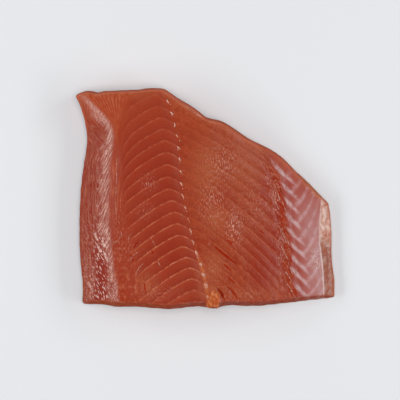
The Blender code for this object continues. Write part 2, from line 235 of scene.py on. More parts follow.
# %% Number the flakes and the back's chevrons
FLAKE_PITCH = 6.06
FIRST_PIN_Y = 63.2
APEX_BACK = 7.4
APEX_RISE = 3.6
LOIN_FALL = (0.248, 1.3)
APEX_FALL = (0.146, 1.6)
HEAD_STEEPENING = (0.04, 20.0)
STEEP_HEAD = (15.0, 45.0)
CREASE_MERGE = (14.0, 1.5, -46.0)
MERGE_HEADWARD = (0.0, 20.0)
FLANK_FALL = (0.243, 0.00167, 1.3)
FLANK_ARCH = (1.5, 3.2)
DRIFT = 0.22
DRIFT_RISE = (28.0, -4.0)
DRIFT_END = (-28.0, -48.0)
BACK_CHEVRON_X = -57.2
BACK_CHEVRON_SLOPES = (4.5, 2.0)
BACK_CHEVRON_BEND = 0.8
SOLVE_ROUNDS = 16


def ease(low, high, value):
    """0 below low, 1 above high and a smooth rise between them."""
    t = np.clip((value - low) / (high - low), 0.0, 1.0)
    return t * t * (3.0 - 2.0 * t)


def septum_lift(x, pin_y):
    """How much further headward a septum lies at x than where it meets the pin bones."""
    across = x - pin_x(pin_y)
    behind_apex = np.maximum(-across - APEX_BACK, 0.0)
    before_apex = np.clip(across + APEX_BACK, 0.0, APEX_BACK)
    steep, steep_from = HEAD_STEEPENING
    merge, merge_reach, merge_x = CREASE_MERGE
    head_share = ease(*STEEP_HEAD, pin_y)
    loin = (APEX_RISE - LOIN_FALL[0] * behind_apex ** LOIN_FALL[1]
            - APEX_FALL[0] * before_apex ** APEX_FALL[1]
            - steep * head_share * np.maximum(-across - steep_from, 0.0) ** 2
            - merge * ease(*MERGE_HEADWARD, pin_y) * np.exp(-np.maximum(x - merge_x, 0.0) / merge_reach))
    out = np.maximum(across, 0.0)
    arch, arch_reach = FLANK_ARCH
    flank = (arch * out / arch_reach * np.exp(1.0 - out / arch_reach)
             - (FLANK_FALL[0] - FLANK_FALL[1] * pin_y) * out ** FLANK_FALL[2])
    return np.where(across < 0.0, loin, flank)


def flake_number(x, y):
    """Which flake a point is in, from the head's end; it is found from where its septum meets the pin bones."""
    pin_y = np.array(y, float)
    for _ in range(SOLVE_ROUNDS):
        pin_y = y - septum_lift(x, pin_y)
    drift = DRIFT * (ease(*DRIFT_RISE, pin_y) - ease(*DRIFT_END, pin_y))
    return (FIRST_PIN_Y - pin_y) / FLAKE_PITCH - drift


def back_number(x, y):
    """The back's fibres run far steeper than the flakes: up and in, or up and out."""
    across = x - BACK_CHEVRON_X
    outer, inner = BACK_CHEVRON_SLOPES
    bend = np.hypot(across, BACK_CHEVRON_BEND)
    return -(y - 0.5 * (outer + inner) * bend - 0.5 * (inner - outer) * across) / FLAKE_PITCH


def fan_number(x, y):
    """The fine lines between the ridge and the loin spread out like a fan at the nape."""
    near = ridge_x(y)
    return (x - near) / np.maximum(loin_edge_x(y) - near, 1.0)


def read_vectors(items, name):
    """One vector for each of a mesh's items, as the rows of an array."""
    values = np.empty(len(items) * 3, np.float32)
    items.foreach_get(name, values)
    return values.reshape(-1, 3).astype(float)


points = read_vectors(flesh_mesh.vertices, "co") / MM
plan_x, plan_y = points[:, 0], points[:, 1]
flakes = flake_number(plan_x, plan_y)
print("flakes across the piece:", int(np.ceil(flakes.max() - flakes.min())))

# %% [markdown]
# ## Which way each point faces
#
# The flesh side, the cut walls and the skin side look different, and the flesh is
# see-through where it thins out to an edge, so the light that comes through is painted
# there as an orange glow. So each point needs the way it faces and its distance to the
# nearest wall. A kd-tree of the wall's points answers the second question quickly.

# %% Measure the facing and the distance to the edge
from mathutils.kdtree import KDTree

FACES_UP, FACES_DOWN = (0.3, 0.75), (-0.55, -0.9)
UPRIGHT = 0.3

facing = read_vectors(flesh_mesh.vertex_normals, "vector")
upward = ease(*FACES_UP, facing[:, 2])
downward = ease(*FACES_DOWN, facing[:, 2])
wall = (1.0 - upward) * (1.0 - downward)

wall_points = points[np.abs(facing[:, 2]) < UPRIGHT]
wall_tree = KDTree(len(wall_points))
for index, (x, y, _) in enumerate(wall_points):
    wall_tree.insert((x, y, 0.0), index)
wall_tree.balance()
rim = np.array([wall_tree.find((x, y, 0.0))[2] for x, y in zip(plan_x, plan_y)])
print("wall points:", len(wall_points), "of", len(points))
print("widest distance to an edge, mm:", round(rim.max(), 1))

# %% [markdown]
# ## Zones of the fillet
#
# A mask is a value from 0 to 1 at each point. Here they mark the band along the back, the
# loin between the back and the pin bones, the flank below them, and the belly strip. They
# are worked out from the guide lines, then kept on the mesh as attributes, which shader
# nodes can read. Painting them by hand would tie them to one mesh.

# %% Work out the zones
from_ridge = plan_x - ridge_x(plan_y)
from_loin_edge = plan_x - loin_edge_x(plan_y)
from_pins = plan_x - pin_x(plan_y)
from_ribs = plan_x - rib_edge_x(plan_y)
from_membrane = plan_x - membrane_x(plan_y)


def uneven(across, along, across_size, along_size, seed):
    """Smooth noise from about -1 to 1 over any two coordinates, in bumps of the given sizes."""
    return np.array([noise.noise((a, b, seed)) for a, b in zip(across / across_size, along / along_size)])


RIB_WOBBLE = (1.3, 1.2, 4.0)
TEAR_SLOPE = 1.8
TEAR_BAND = (3.0, 3.8)
TEAR_ENDS = (14.0, 26.0)
BELLY_START, EDGE_BAND_START, BACK_END = (-0.8, 0.8), (-0.5, 0.6), (-1.5, 1.5)
LOIN_START, LOIN_END = (-1.0, 5.0), (-2.5, 2.5)

tear_run = math.hypot(1.0, TEAR_SLOPE)
tear_across = (TEAR_SLOPE * plan_x + plan_y) / tear_run
tear_along = (plan_x - TEAR_SLOPE * plan_y) / tear_run
rib_wobble = RIB_WOBBLE[0] * uneven(tear_across, tear_along, *RIB_WOBBLE[1:], 11.0)
on_belly = ease(*BELLY_START, from_ribs + rib_wobble)
on_edge_band = on_belly * ease(*EDGE_BAND_START, from_membrane)
on_back = 1.0 - ease(*BACK_END, from_ridge)
on_loin = ease(*LOIN_START, from_loin_edge) * (1.0 - ease(*LOIN_END, from_pins))
on_flank = ease(*LOIN_END, from_pins) * (1.0 - on_belly)
tear_zone = np.exp(-((from_ribs + TEAR_BAND[0]) / TEAR_BAND[1]) ** 2) * (1.0 - ease(*TEAR_ENDS, plan_y))
print("points on the back band, loin, flank and belly:",
      [int((mask * upward > 0.5).sum()) for mask in (on_back, on_loin, on_flank, on_belly)])

# %% [markdown]
# ## Gapes and tears
#
# Handling parts some flakes, and the rib bones leave torn flesh where they were cut away.
# These are real openings, so they are pressed into the mesh. Each gape is a short path
# with a width and a depth, and the same function gives its shape to the shader as a dark,
# wet red, whose darkness is partly painted shade in the opening.

# %% Place the gapes along the flakes and the rib edge
GAPES = (
    (((3.6, -24.1), (8.9, -28.6), (12.5, -31.4), (17.6, -35.4)), 1.05, 0.24),
    (((10.6, -21.3), (14.4, -24.0)), 0.9, 0.12),
    (((9.5, -34.5), (13.9, -38.0)), 0.8, 0.2),
    (((11.9, -41.4), (15.6, -44.8)), 0.6, 0.12),
    (((6.6, -47.6), (8.6, -50.0), (10.2, -53.4)), 1.3, 0.35),
    (((10.9, -46.0), (13.9, -48.5), (16.0, -51.0), (17.2, -54.0)), 0.8, 0.24),
    (((-38.0, -25.8), (-35.4, -23.0)), 0.7, 0.2),
    (((-39.6, -29.4), (-37.6, -33.8)), 0.6, 0.15),
    (((-28.2, -27.4), (-27.2, -29.4)), 0.6, 0.15),
    (((-32.2, -44.0), (-31.4, -50.2)), 0.7, 0.15),
    (((36.6, 9.8), (38.2, 4.6), (40.9, -0.4), (42.8, -2.4)), 0.5, 0.15),
    (((37.8, -1.0), (40.6, -4.6), (43.2, -8.2)), 0.5, 0.15),
    (((41.4, -15.6), (42.4, -19.0), (42.8, -21.0)), 0.5, 0.12),
    (((43.9, -24.6), (45.2, -26.6)), 0.6, 0.12),
    (((44.9, -31.0), (45.8, -33.4)), 0.6, 0.12),
    (((43.6, -36.4), (45.4, -40.0)), 0.5, 0.12),
    (((28.0, -15.6), (31.0, -18.6)), 0.5, 0.1),
)
GAPE_FRAY = (0.2, 0.9)
GAPE_ENDS, GAPE_OPEN = 0.25, 0.9


def distance_to(path, x, y):
    """The shortest plan distance from each point to a path, and the share of the path run there."""
    path = np.array(path)
    best, best_run = np.full(np.shape(x), np.inf), np.zeros(np.shape(x))
    for number, (start, end) in enumerate(zip(path, path[1:])):
        run = end - start
        share = np.clip(((x - start[0]) * run[0] + (y - start[1]) * run[1]) / (run @ run), 0.0, 1.0)
        away = np.hypot(x - start[0] - share * run[0], y - start[1] - share * run[1])
        best_run = np.where(away < best, (number + share) / (len(path) - 1), best_run)
        best = np.minimum(best, away)
    return best, best_run


fray = GAPE_FRAY[0] * uneven(plan_x, plan_y, GAPE_FRAY[1], GAPE_FRAY[1], 23.0)
gape = np.zeros(len(points))
gape_depth = np.zeros(len(points))
for path, half_width, depth in GAPES:
    away, run_share = distance_to(path, plan_x, plan_y)
    taper = GAPE_ENDS + (1.0 - GAPE_ENDS) * np.sin(np.pi * run_share)
    opening = np.clip(1.0 - (away + fray) / (half_width * taper), 0.0, 1.0)
    gape = np.maximum(gape, ease(0.0, GAPE_OPEN, opening))
    gape_depth = np.maximum(gape_depth, depth * opening)
print("points inside a gape:", int((gape > 0.3).sum()))

# %% [markdown]
# ## Relief of the flesh
#
# Each flake ends in a fine ledge where its septum stands proud of the cut, the belly's fat
# bands are raised, and the back's fibres lie in a steep fringe. The relief moves points up
# and down by tenths of a millimetre. It could be bump alone, but real height also shows in
# the outline, in side light, and in the exported mesh.

# %% Number the belly's two sets of bands and the back's fibres
BELLY_PITCH = (8.4, 0.14)
BELLY_FIRST_Y = 13.0
BELLY_SLOPES = (1.05, 0.45, 0.072)


def belly_band(apex_y):
    """The band's number, for where it meets the line of the bands' points; the bands close up tailward."""
    pitch, closing = BELLY_PITCH
    under_root = np.maximum(pitch ** 2 - 2.0 * closing * (BELLY_FIRST_Y - apex_y), 0.0)
    return (pitch - np.sqrt(under_root)) / closing


past_apex = plan_x - belly_apex_x(plan_y)
left_slope, right_slope, curl = BELLY_SLOPES
left_bands = belly_band(plan_y + left_slope * past_apex)
beyond = np.maximum(past_apex, 0.0)
right_bands = belly_band(plan_y - right_slope * beyond - curl * beyond ** 2)
chevrons = back_number(plan_x, plan_y)
print("belly bands:", int(left_bands.max() - left_bands.min()))

# %% Find where the back's band shines, for its painted highlight and wetter coat, and its trough
# Where the band shines, a painted highlight goes into the colour over paler membrane, and the coat is wetter.
SHEEN_COURSE = (
    (-56.0, 3.0, 0.5), (-46.0, 3.6, 0.55), (-36.0, 1.8, 0.85), (-26.0, 3.7, 0.95),
    (-16.0, 6.2, 0.85), (-4.0, 5.6, 0.65), (6.7, 4.8, 0.85), (17.0, 4.6, 0.95),
    (27.0, 4.8, 1.0), (31.0, 3.4, 1.0), (35.3, 1.3, 0.8), (39.5, 4.2, 0.5),
    (43.8, 6.6, 0.58), (48.0, 4.6, 0.55), (54.0, 2.0, 0.4))
SHEEN_FRAY = (2.6, 0.24, 2.0)
SHEEN_OUTER, SHEEN_INNER = (-2.6, 1.8), (-1.8, 1.5)
INNER_FRAY = 1.1
TROUGH = (-54.9, 3.7)
TROUGH_FROM = (-14.0, -26.0)
# The wet blots are patches of painted highlight in and beside the trough.
WET_BLOTS = ((-57.4, -20.6, 0.9, 3.4, 1.0), (-56.2, -26.2, 0.9, 2.6, 1.0), (-53.8, -23.6, 1.2, 3.0, 1.0),
             (-56.8, -32.0, 0.6, 1.6, 1.0), (-52.6, -30.6, 0.8, 3.4, 1.0), (-55.4, -36.8, 0.5, 1.6, 0.9),
             (-57.0, -42.6, 0.5, 1.4, 0.9), (-53.0, -45.4, 0.5, 1.8, 0.8), (-61.0, -46.0, 1.0, 3.0, 0.8))
BLOT_LEAN, BLOT_EDGE, BLOT_STROKES = 0.45, (0.3, 0.6), (0.8, 0.7)

fray_reach, fray_across, fray_along = SHEEN_FRAY
strokes = uneven(chevrons, plan_x, fray_across, fray_along, 31.0)
course_y, course_width, course_strength = zip(*SHEEN_COURSE)
sheen_width = np.interp(plan_y, course_y, course_width)
sheen = (ease(*SHEEN_OUTER, from_ridge + sheen_width + fray_reach * strokes)
         * (1.0 - ease(*SHEEN_INNER, from_ridge + INNER_FRAY * strokes)))
trough = ease(*TROUGH_FROM, plan_y) * np.exp(-((plan_x - TROUGH[0]) / TROUGH[1]) ** 4)


def soft_patches(patches, lean=0.0):
    """The strongest of several soft ovals at each point; lean tilts them as they go tailward."""
    total = np.zeros(len(points))
    for x, y, half_x, half_y, amount in patches:
        across = plan_x - x + lean * (plan_y - y)
        total = np.maximum(total, amount * np.exp(-(across / half_x) ** 2 - ((plan_y - y) / half_y) ** 2))
    return total


blots = soft_patches(WET_BLOTS, BLOT_LEAN)
blots = ease(*BLOT_EDGE, blots * (BLOT_STROKES[0] + BLOT_STROKES[1] * strokes))
sheen = np.maximum(sheen * np.interp(plan_y, course_y, course_strength), blots)
print("points that shine:", int((sheen > 0.5).sum()), " in the trough:", int((trough > 0.5).sum()))

# %% Find where wet grain catches the light
# Where wet grain glints, the shader paints pale highlight marks into the colour over pale fibres, and the grain
# is rougher and the coat wetter.
GLINTS = ((15.3, -14.5, 4.5, 9.0, 1.0), (4.0, -2.0, 7.0, 12.0, 0.6), (9.0, 18.0, 9.0, 10.0, 0.55),
          (26.0, -4.0, 9.0, 16.0, 0.3), (-30.0, 8.0, 4.0, 4.0, 0.5), (-32.0, -6.0, 5.0, 4.0, 0.3),
          (36.0, 10.0, 6.0, 8.0, 0.4), (-26.0, -50.0, 12.0, 4.5, 0.28), (-37.0, -44.0, 7.0, 9.0, 0.15),
          (-41.0, -26.0, 4.0, 8.0, 0.3), (20.0, -52.0, 12.0, 5.0, 0.3), (40.0, -24.0, 3.5, 16.0, 0.4),
          (38.0, 2.0, 2.5, 8.0, 0.8), (58.6, -32.0, 2.4, 7.0, 1.0), (-45.0, -20.0, 3.0, 20.0, 0.3),
          (5.0, -38.0, 9.0, 10.0, 0.22), (57.0, 2.6, 0.9, 1.2, 1.0),
          (-9.4, 49.4, 1.8, 1.3, 1.0), (-6.6, 47.8, 1.7, 1.2, 1.0), (-4.0, 46.0, 1.7, 1.2, 1.0),
          (-1.6, 44.6, 1.7, 1.0, 0.8), (5.5, 42.2, 5.0, 1.4, 0.6))

glints = soft_patches(GLINTS)
print("points that glint:", int((glints > 0.4).sum()))

# %% Place the deeper red and the paler patches of muscle
RED_PATCHES = (
    (-29.0, 14.0, 17.0, 36.0, 0.5), (29.5, -34.0, 7.5, 20.0, 1.0), (31.5, 4.5, 3.2, 9.0, 1.0),
    (36.5, -28.0, 5.0, 18.0, 1.0), (38.0, -8.0, 4.0, 9.0, 0.8), (9.0, 0.0, 5.0, 4.5, 0.6),
    (-27.0, -8.0, 8.0, 12.0, 0.4), (-19.0, -27.0, 7.0, 14.0, 0.5), (-62.0, 36.0, 4.0, 7.0, 0.9),
    (-11.0, 33.0, 7.0, 8.0, 0.4))
PALE_PATCHES = (
    (0.5, 16.0, 8.0, 14.0, 0.9), (6.5, -10.0, 6.0, 7.0, 0.9), (20.0, 18.0, 10.0, 12.0, 0.7),
    (-32.0, -46.0, 6.0, 6.0, 1.0), (-40.0, -44.0, 4.0, 12.0, 0.7), (3.5, -49.0, 7.0, 5.0, 0.9),
    (4.0, -36.0, 5.0, 8.0, 0.8), (-1.0, -39.0, 4.0, 6.0, 0.7), (-56.0, 50.0, 9.0, 8.0, 0.6),
    (-36.0, 55.0, 9.0, 3.0, 0.5), (-3.0, 48.0, 5.0, 5.0, 0.8), (40.0, 17.0, 6.0, 6.0, 0.4),
    (24.0, -50.0, 14.0, 3.5, 0.5))

red_patch, pale_patch = soft_patches(RED_PATCHES), soft_patches(PALE_PATCHES)
print("points in a red and in a pale patch:", int((red_patch > 0.4).sum()), int((pale_patch > 0.4).sum()))

# %% Raise the flakes and the back's fibres
FLAKE_SOFTENING = (0.1, 0.34)
LEDGE = (0.06, 0.9)
LEDGE_LEAST, LEDGE_FADE, LEDGE_LOSS = 0.4, (5.0, 40.0), 0.5
GROOVE, GROOVE_ON_LOIN = (0.1, 0.42), 0.35
RAGGED_SIZE = 1.4
FRINGE, FRINGE_LOST_IN_TROUGH = 0.2, 0.6
FLECKS = (0.3, 0.45, 1.5)


def share_of(number):
    """How far past the last whole number, from 0 to 1."""
    return number - np.floor(number)


flake_share = share_of(flakes)
pillow = np.sqrt(4.0 * flake_share * (1.0 - flake_share))
past_line = flake_share * FLAKE_PITCH
to_line = np.minimum(past_line, FLAKE_PITCH - past_line)
raggedness = 0.5 + 0.5 * uneven(plan_x, plan_y, RAGGED_SIZE, RAGGED_SIZE, 5.0)
softened = -(FLAKE_SOFTENING[0] * on_loin + FLAKE_SOFTENING[1] * on_flank) * pillow
ledge = (LEDGE[0] * np.exp(-past_line / LEDGE[1]) * (LEDGE_LEAST + raggedness) * on_loin
         * (1.0 - LEDGE_LOSS * ease(*LEDGE_FADE, plan_y)))
groove = -GROOVE[0] * np.exp(-(to_line / GROOVE[1]) ** 2) * (GROOVE_ON_LOIN * on_loin + on_flank)
fringe = FRINGE * strokes * on_back * (1.0 - FRINGE_LOST_IN_TROUGH * trough)
flecks = uneven(plan_x + BLOT_LEAN * plan_y, plan_y, *FLECKS[1:], 41.0)
flecks = FLECKS[0] * np.maximum(flecks, 0.0) * on_back
print("deepest flake line, mm:", round(float((softened + groove).min()), 2))

# %% Raise the belly's bands and its edge
BELLY_BAND_RISE = 0.1
LEFT_BAND, RIGHT_BAND = (0.28, 0.17), (0.05, 0.13)
LEFT_END, RIGHT_START, RIGHT_SHARE = (2.0, 3.6), (-0.4, 0.8), 0.7
EDGE_BAND_LUMPS = (0.8, 2.6, 4.4)
LUMPS_START = (-34.0, -24.0)
SMALL_LUMPS, LUMP_LEVEL, LUMPS_LEAST = 0.4, 0.3, 0.15
MEMBRANE_RISE = (0.2, 0.5)


def bump_at(share, middle, half_width):
    """A smooth hump on a repeating 0 to 1 scale."""
    gap = np.abs(share - middle)
    gap = np.minimum(gap, 1.0 - gap)
    return np.exp(-(gap / half_width) ** 2)


white_left = bump_at(share_of(left_bands), *LEFT_BAND) * (1.0 - ease(*LEFT_END, past_apex))
white_right = bump_at(share_of(right_bands), *RIGHT_BAND) * ease(*RIGHT_START, past_apex)
bands_rise = (BELLY_BAND_RISE * np.maximum(white_left, RIGHT_SHARE * white_right)
              * on_belly * (1.0 - on_edge_band))
lump_rise, *lump_size = EDGE_BAND_LUMPS
lump = (np.abs(uneven(plan_x, plan_y, *lump_size, 51.0))
        + SMALL_LUMPS * np.abs(uneven(plan_x, plan_y, *(SMALL_LUMPS * size for size in lump_size), 52.0)))
lumps = (lump_rise * (lump - LUMP_LEVEL) * on_edge_band
         * (LUMPS_LEAST + (1.0 - LUMPS_LEAST) * ease(*LUMPS_START, plan_y)))
membrane = MEMBRANE_RISE[0] * np.exp(-(from_membrane / MEMBRANE_RISE[1]) ** 2) * on_belly
print("highest lump at the belly's edge, mm:", round(float(lumps.max()), 2))

# %% Tear the rib edge, roughen the rest and add it up
TORN = (0.28, 0.9, 2.4)
STEP_FILL = (1.4, 0.2, 1.8)
STEP_CUT = (-0.6, -3.6, 1.8)
STEP_ENDS = (10.0, 24.0)
ROUGH = (0.05, 1.1)
WET_GRAIN = (0.3, 0.8, 1.4)
WALL_LAYERS = (0.2, 1.6, 5.0)
LAYER_TILT = 0.25
SMOOTHING_LOSS = 0.42

torn = TORN[0] * uneven(tear_across, tear_along, *TORN[1:], 61.0) * tear_zone
eased_step = sum(rise * np.exp(-((from_ribs - middle) / reach) ** 2)
                 for rise, middle, reach in (STEP_FILL, STEP_CUT)) * (1.0 - ease(*STEP_ENDS, plan_y))
rough = (ROUGH[0] * uneven(plan_x, plan_y, ROUGH[1], ROUGH[1], 71.0)
         + WET_GRAIN[0] * glints * uneven(plan_x, plan_y, *WET_GRAIN[1:], 91.0))
height = upward * (softened + ledge + groove + fringe + flecks + bands_rise + lumps + membrane + torn + rough
                   + eased_step - gape_depth)
layered = uneven(points[:, 2] + LAYER_TILT * plan_x, plan_x + plan_y, *WALL_LAYERS[1:], 81.0)
layers = wall * (SMOOTHING_LOSS + WALL_LAYERS[0] * layered)
print("relief from", round(height.min(), 2), "to", round(height.max(), 2), "mm")

# %% [markdown]
# ## The skin keeps the solid's underside
#
# The skin is a separate, tougher layer about half a millimetre thick. Its outer face is the
# solid's own underside, so the flesh above is drawn in by the skin's thickness. The skin is
# cut out of the same fine net before the flesh moves, which makes the two fit exactly.

# %% Cut the skin from the underside and draw the flesh in
SKIN_THICKNESS = 0.5
SKIN_GAP = 0.02
SKIN_FACES_DOWN = -0.8


def cut_skin(mesh):
    """The net's downward faces, thickened inwards into a closed sheet."""
    sheet = bmesh.new()
    sheet.from_mesh(mesh)
    sheet.normal_update()
    upper = [face for face in sheet.faces if face.normal.z > SKIN_FACES_DOWN]
    bmesh.ops.delete(sheet, geom=upper, context="FACES")
    bmesh.ops.delete(sheet, geom=[v for v in sheet.verts if not v.link_faces], context="VERTS")
    skin = bpy.data.meshes.new("salmon_skin")
    sheet.to_mesh(skin)
    sheet.free()
    return after_modifiers(skin, ("SOLIDIFY", {"thickness": SKIN_THICKNESS * MM, "offset": -1.0}))


skin_mesh = cut_skin(flesh_mesh)
moved = points + facing * ((layers - (SKIN_THICKNESS + SKIN_GAP) * downward)[:, None])
moved[:, 2] += height
flesh_mesh.vertices.foreach_set("co", (moved * MM).astype(np.float32).ravel())
flesh_mesh.update()
print("skin:", len(skin_mesh.polygons), "faces")

# %% Keep the zones on the mesh
THIN_EDGE_REACH = 1.5
THICK_NAPE = (44.0, 54.0)
THIN_HEADWARD = (-6.0, 4.0)
THIN_CORNER, CORNER_SLOPE = (-60.0, -68.0), 0.5
FACES_TAIL = (0.2, 0.8)


def keep(mesh, name, values):
    """Store one value for each point of a mesh under a name."""
    layer = mesh.attributes.new(name, "FLOAT", "POINT")
    layer.data.foreach_set("value", np.asarray(values, np.float32))


# Thin edges get a painted orange glow, for the light that comes through them.
thin_edge = np.exp(-rim / THIN_EDGE_REACH) * (1.0 - on_back * (1.0 - ease(*THICK_NAPE, plan_y)))
corner = ease(*THIN_CORNER, plan_x - CORNER_SLOPE * (plan_y - THICK_NAPE[1]))
thin_edge = np.maximum(thin_edge * ease(*THIN_HEADWARD, plan_y), corner)
tail_wall = wall * ease(*FACES_TAIL, -facing[:, 1])

for name, values in {
        "flake": flakes, "left_band": left_bands, "right_band": right_bands, "chevron": chevrons,
        "from_pins": from_pins, "from_ridge": from_ridge, "from_membrane": from_membrane,
        "past_apex": past_apex, "on_back": on_back, "on_loin": on_loin, "on_flank": on_flank,
        "on_belly": on_belly, "on_edge_band": on_edge_band, "tear": tear_zone,
        "gape": gape, "thin_edge": thin_edge, "wall": wall, "tail_wall": tail_wall, "upward": upward,
        "sheen": sheen, "trough": trough, "glints": glints, "fan": fan_number(plan_x, plan_y),
        "from_back": plan_x - back_x(plan_y), "red_patch": red_patch, "pale_patch": pale_patch,
        "lump": lump, "blots": blots}.items():
    keep(flesh_mesh, name, values)
print("attributes:", len(flesh_mesh.attributes))

# %% [markdown]
# ## Shader sums as plain expressions
#
# A shader is a graph, but most of one is arithmetic. This class wraps a socket, so that
# `1 - mask` adds a Math node by itself. Every other node comes from `add`, which takes the
# node's type, its settings, and what goes into its sockets.

# %% Wrap a socket
class Wire:
    """A shader socket that can stand in a sum. Each operator adds one Math node to its tree."""

    def __init__(self, tree, socket=None):
        self.tree, self.socket = tree, socket

    def add(self, kind, settings=None, inputs=None, output=0):
        """Add a node: its settings come first, then the values or links of its sockets."""
        made = self.tree.nodes.new(kind)
        for name, setting in (settings or {}).items():
            setattr(made, name, setting)
        for name, value in (inputs or {}).items():
            if isinstance(value, Wire):
                self.tree.links.new(value.socket, made.inputs[name])
            else:
                made.inputs[name].default_value = value
        return Wire(self.tree, made.outputs[output])

    def math(self, operation, *inputs):
        return self.add("ShaderNodeMath", {"operation": operation}, dict(enumerate(inputs)))

    def fraction(self):
        """What is left above the whole number below."""
        return self.math("FRACT", self)

    def at_most(self, limit):
        return self.math("MINIMUM", self, limit)

    def __abs__(self):
        return self.math("ABSOLUTE", self)

    def __add__(self, other):
        return self.math("ADD", self, other)

    def __sub__(self, other):
        return self.math("SUBTRACT", self, other)

    def __rsub__(self, other):
        return self.math("SUBTRACT", other, self)

    def __mul__(self, other):
        return self.math("MULTIPLY", self, other)

    def __truediv__(self, other):
        return self.math("DIVIDE", self, other)

    def __pow__(self, other):
        return self.math("POWER", self, other)

    __radd__ = __add__
    __rmul__ = __mul__


def attribute(bench, name):
    """A value that the mesh carries at each of its points."""
    return bench.add("ShaderNodeAttribute", {"attribute_name": name}, output="Fac")


def rise(value, low, high):
    """0 up to low, 1 from high and a smooth rise between; it falls where low is the larger."""
    return value.add("ShaderNodeMapRange", {"interpolation_type": "SMOOTHSTEP"},
                     {"Value": value, "From Min": low, "From Max": high})


def mix(mask, under, over):
    """A colour that turns from under to over as the mask goes from 0 to 1."""
    return mask.add("ShaderNodeMix", {"data_type": "RGBA"}, {0: mask, 6: under, 7: over}, output=2)


def coats(colour, *layers):
    """A colour under coats that go on in turn; each is a mask and the colour that it brings."""
    for mask, over in layers:
        colour = mix(mask, colour, over)
    return colour


def hump(share, middle, half_width):
    """A soft band round one place on a repeating 0 to 1 scale."""
    return rise(abs(share - middle), half_width, 0.0)


def grain(bench, across, along, seed, detail=2.0):
    """Noise from 0 to 1 over two wires, which sets how long and which way its streaks run."""
    at = bench.add("ShaderNodeCombineXYZ", None, {"X": across, "Y": along, "Z": seed})
    return bench.add("ShaderNodeTexNoise", None, {"Vector": at, "Scale": 1.0, "Detail": detail})


def paint(red, green, blue):
    """A colour for a socket, from the red, green and blue of a screen, 0 to 255."""
    screen = np.array((red, green, blue)) / 255.0
    linear = np.where(screen <= 0.04045, screen / 12.92, ((screen + 0.055) / 1.055) ** 2.4)
    return (*linear.tolist(), 1.0)


def new_material(name, axes="XYZ"):
    """A material, its bench, and each point's place in millimetres along the axes asked for."""
    material = bpy.data.materials.new(name)
    material.use_nodes = True
    bench = Wire(material.node_tree)
    where = bench.add("ShaderNodeTexCoord", output="Object")
    return material, bench, *(where.add("ShaderNodeSeparateXYZ", None, {0: where}, output=axis) / MM
                              for axis in axes)


def fill_shader(material, settings, wires):
    """Set the shader's sockets that stay the same all over, then feed those that vary."""
    shader = material.node_tree.nodes["Principled BSDF"]
    for name, value in settings.items():
        shader.inputs[name].default_value = value
    for name, wire in wires.items():
        material.node_tree.links.new(wire.socket, shader.inputs[name])
    return shader


def wear(mesh, material):
    """Give a mesh its one material and smooth shading."""
    mesh.materials.clear()
    mesh.materials.append(material)
    mesh.shade_smooth()


print("a mid flesh tone:", [round(c, 3) for c in paint(156, 73, 54)[:3]])

# %% [markdown]
# ## Flesh
#
# Raw coho is a deep orange red that comes from pigment inside clear muscle, so light sinks
# in a millimetre or two before it comes back. That is subsurface scattering, kept small
# here or the fine septa would blur. A film of water lies on top, which is the coat. The
# colour is built up as a fishmonger would see it: muscle, septa, belly fat, back, torn
# edges, then the pale speckling of wet grain. Some of it is painted light: highlights and
# glints, shade in the back's trough and in the gapes, and a glow at thin edges.

# %% Read the mesh and make the grains
flesh, bench, px, py, pz = new_material("raw_salmon_flesh")
on_top, loin, flank, belly, back, pins, ridge, flake = (
    attribute(bench, name) for name in (
        "upward", "on_loin", "on_flank", "on_belly", "on_back", "from_pins", "from_ridge", "flake"))
red_places, thin, glint, tear, gape_mask, wall_mask = (
    attribute(bench, name) for name in ("red_patch", "thin_edge", "glints", "tear", "gape", "wall"))

slow = grain(bench, px / 9.0, py / 12.0, pz / 9.0)
mottle = grain(bench, px / 2.2, py / 3.0, 4.0, 3.0)
fine = grain(bench, px / 0.6, py / 0.8, pz / 0.8, 3.0)
upright = grain(bench, (px + 0.12 * py) / 0.52, py / 1.3, 9.0)
squiggles = grain(bench, (px + 0.7 * mottle + 0.1 * py) / 0.58, py / 1.7, 12.0)
striae = grain(bench, flake * 7.0, pins / 3.0, 2.0, 3.0)
broken = rise(mottle, 0.34, 0.6)
print("nodes so far:", len(flesh.node_tree.nodes))

# %% Muscle and its septa
LOIN_AFTER, LOIN_BEFORE = paint(164, 64, 37), paint(146, 47, 26)
FLANK_AFTER, FLANK_BEFORE = paint(163, 64, 31), paint(146, 48, 22)
SEPTUM, PALE_STREAK, TORN_LINE = paint(190, 104, 72), paint(184, 94, 62), paint(204, 130, 100)
PIN_FAT, DEEP_RED, BRIGHT_RED = paint(196, 104, 56), paint(146, 34, 14), paint(176, 58, 26)
PALE_ORANGE, NAPE_ORANGE = paint(176, 94, 58), paint(180, 80, 44)
LOWER_LOIN = (-14.0, -30.0)
SEPTUM_WOBBLE, RAGGED_WOBBLE, FINE_WOBBLE = 0.05, 0.2, 0.06
SEPTUM_EDGE = (0.1, 0.02)

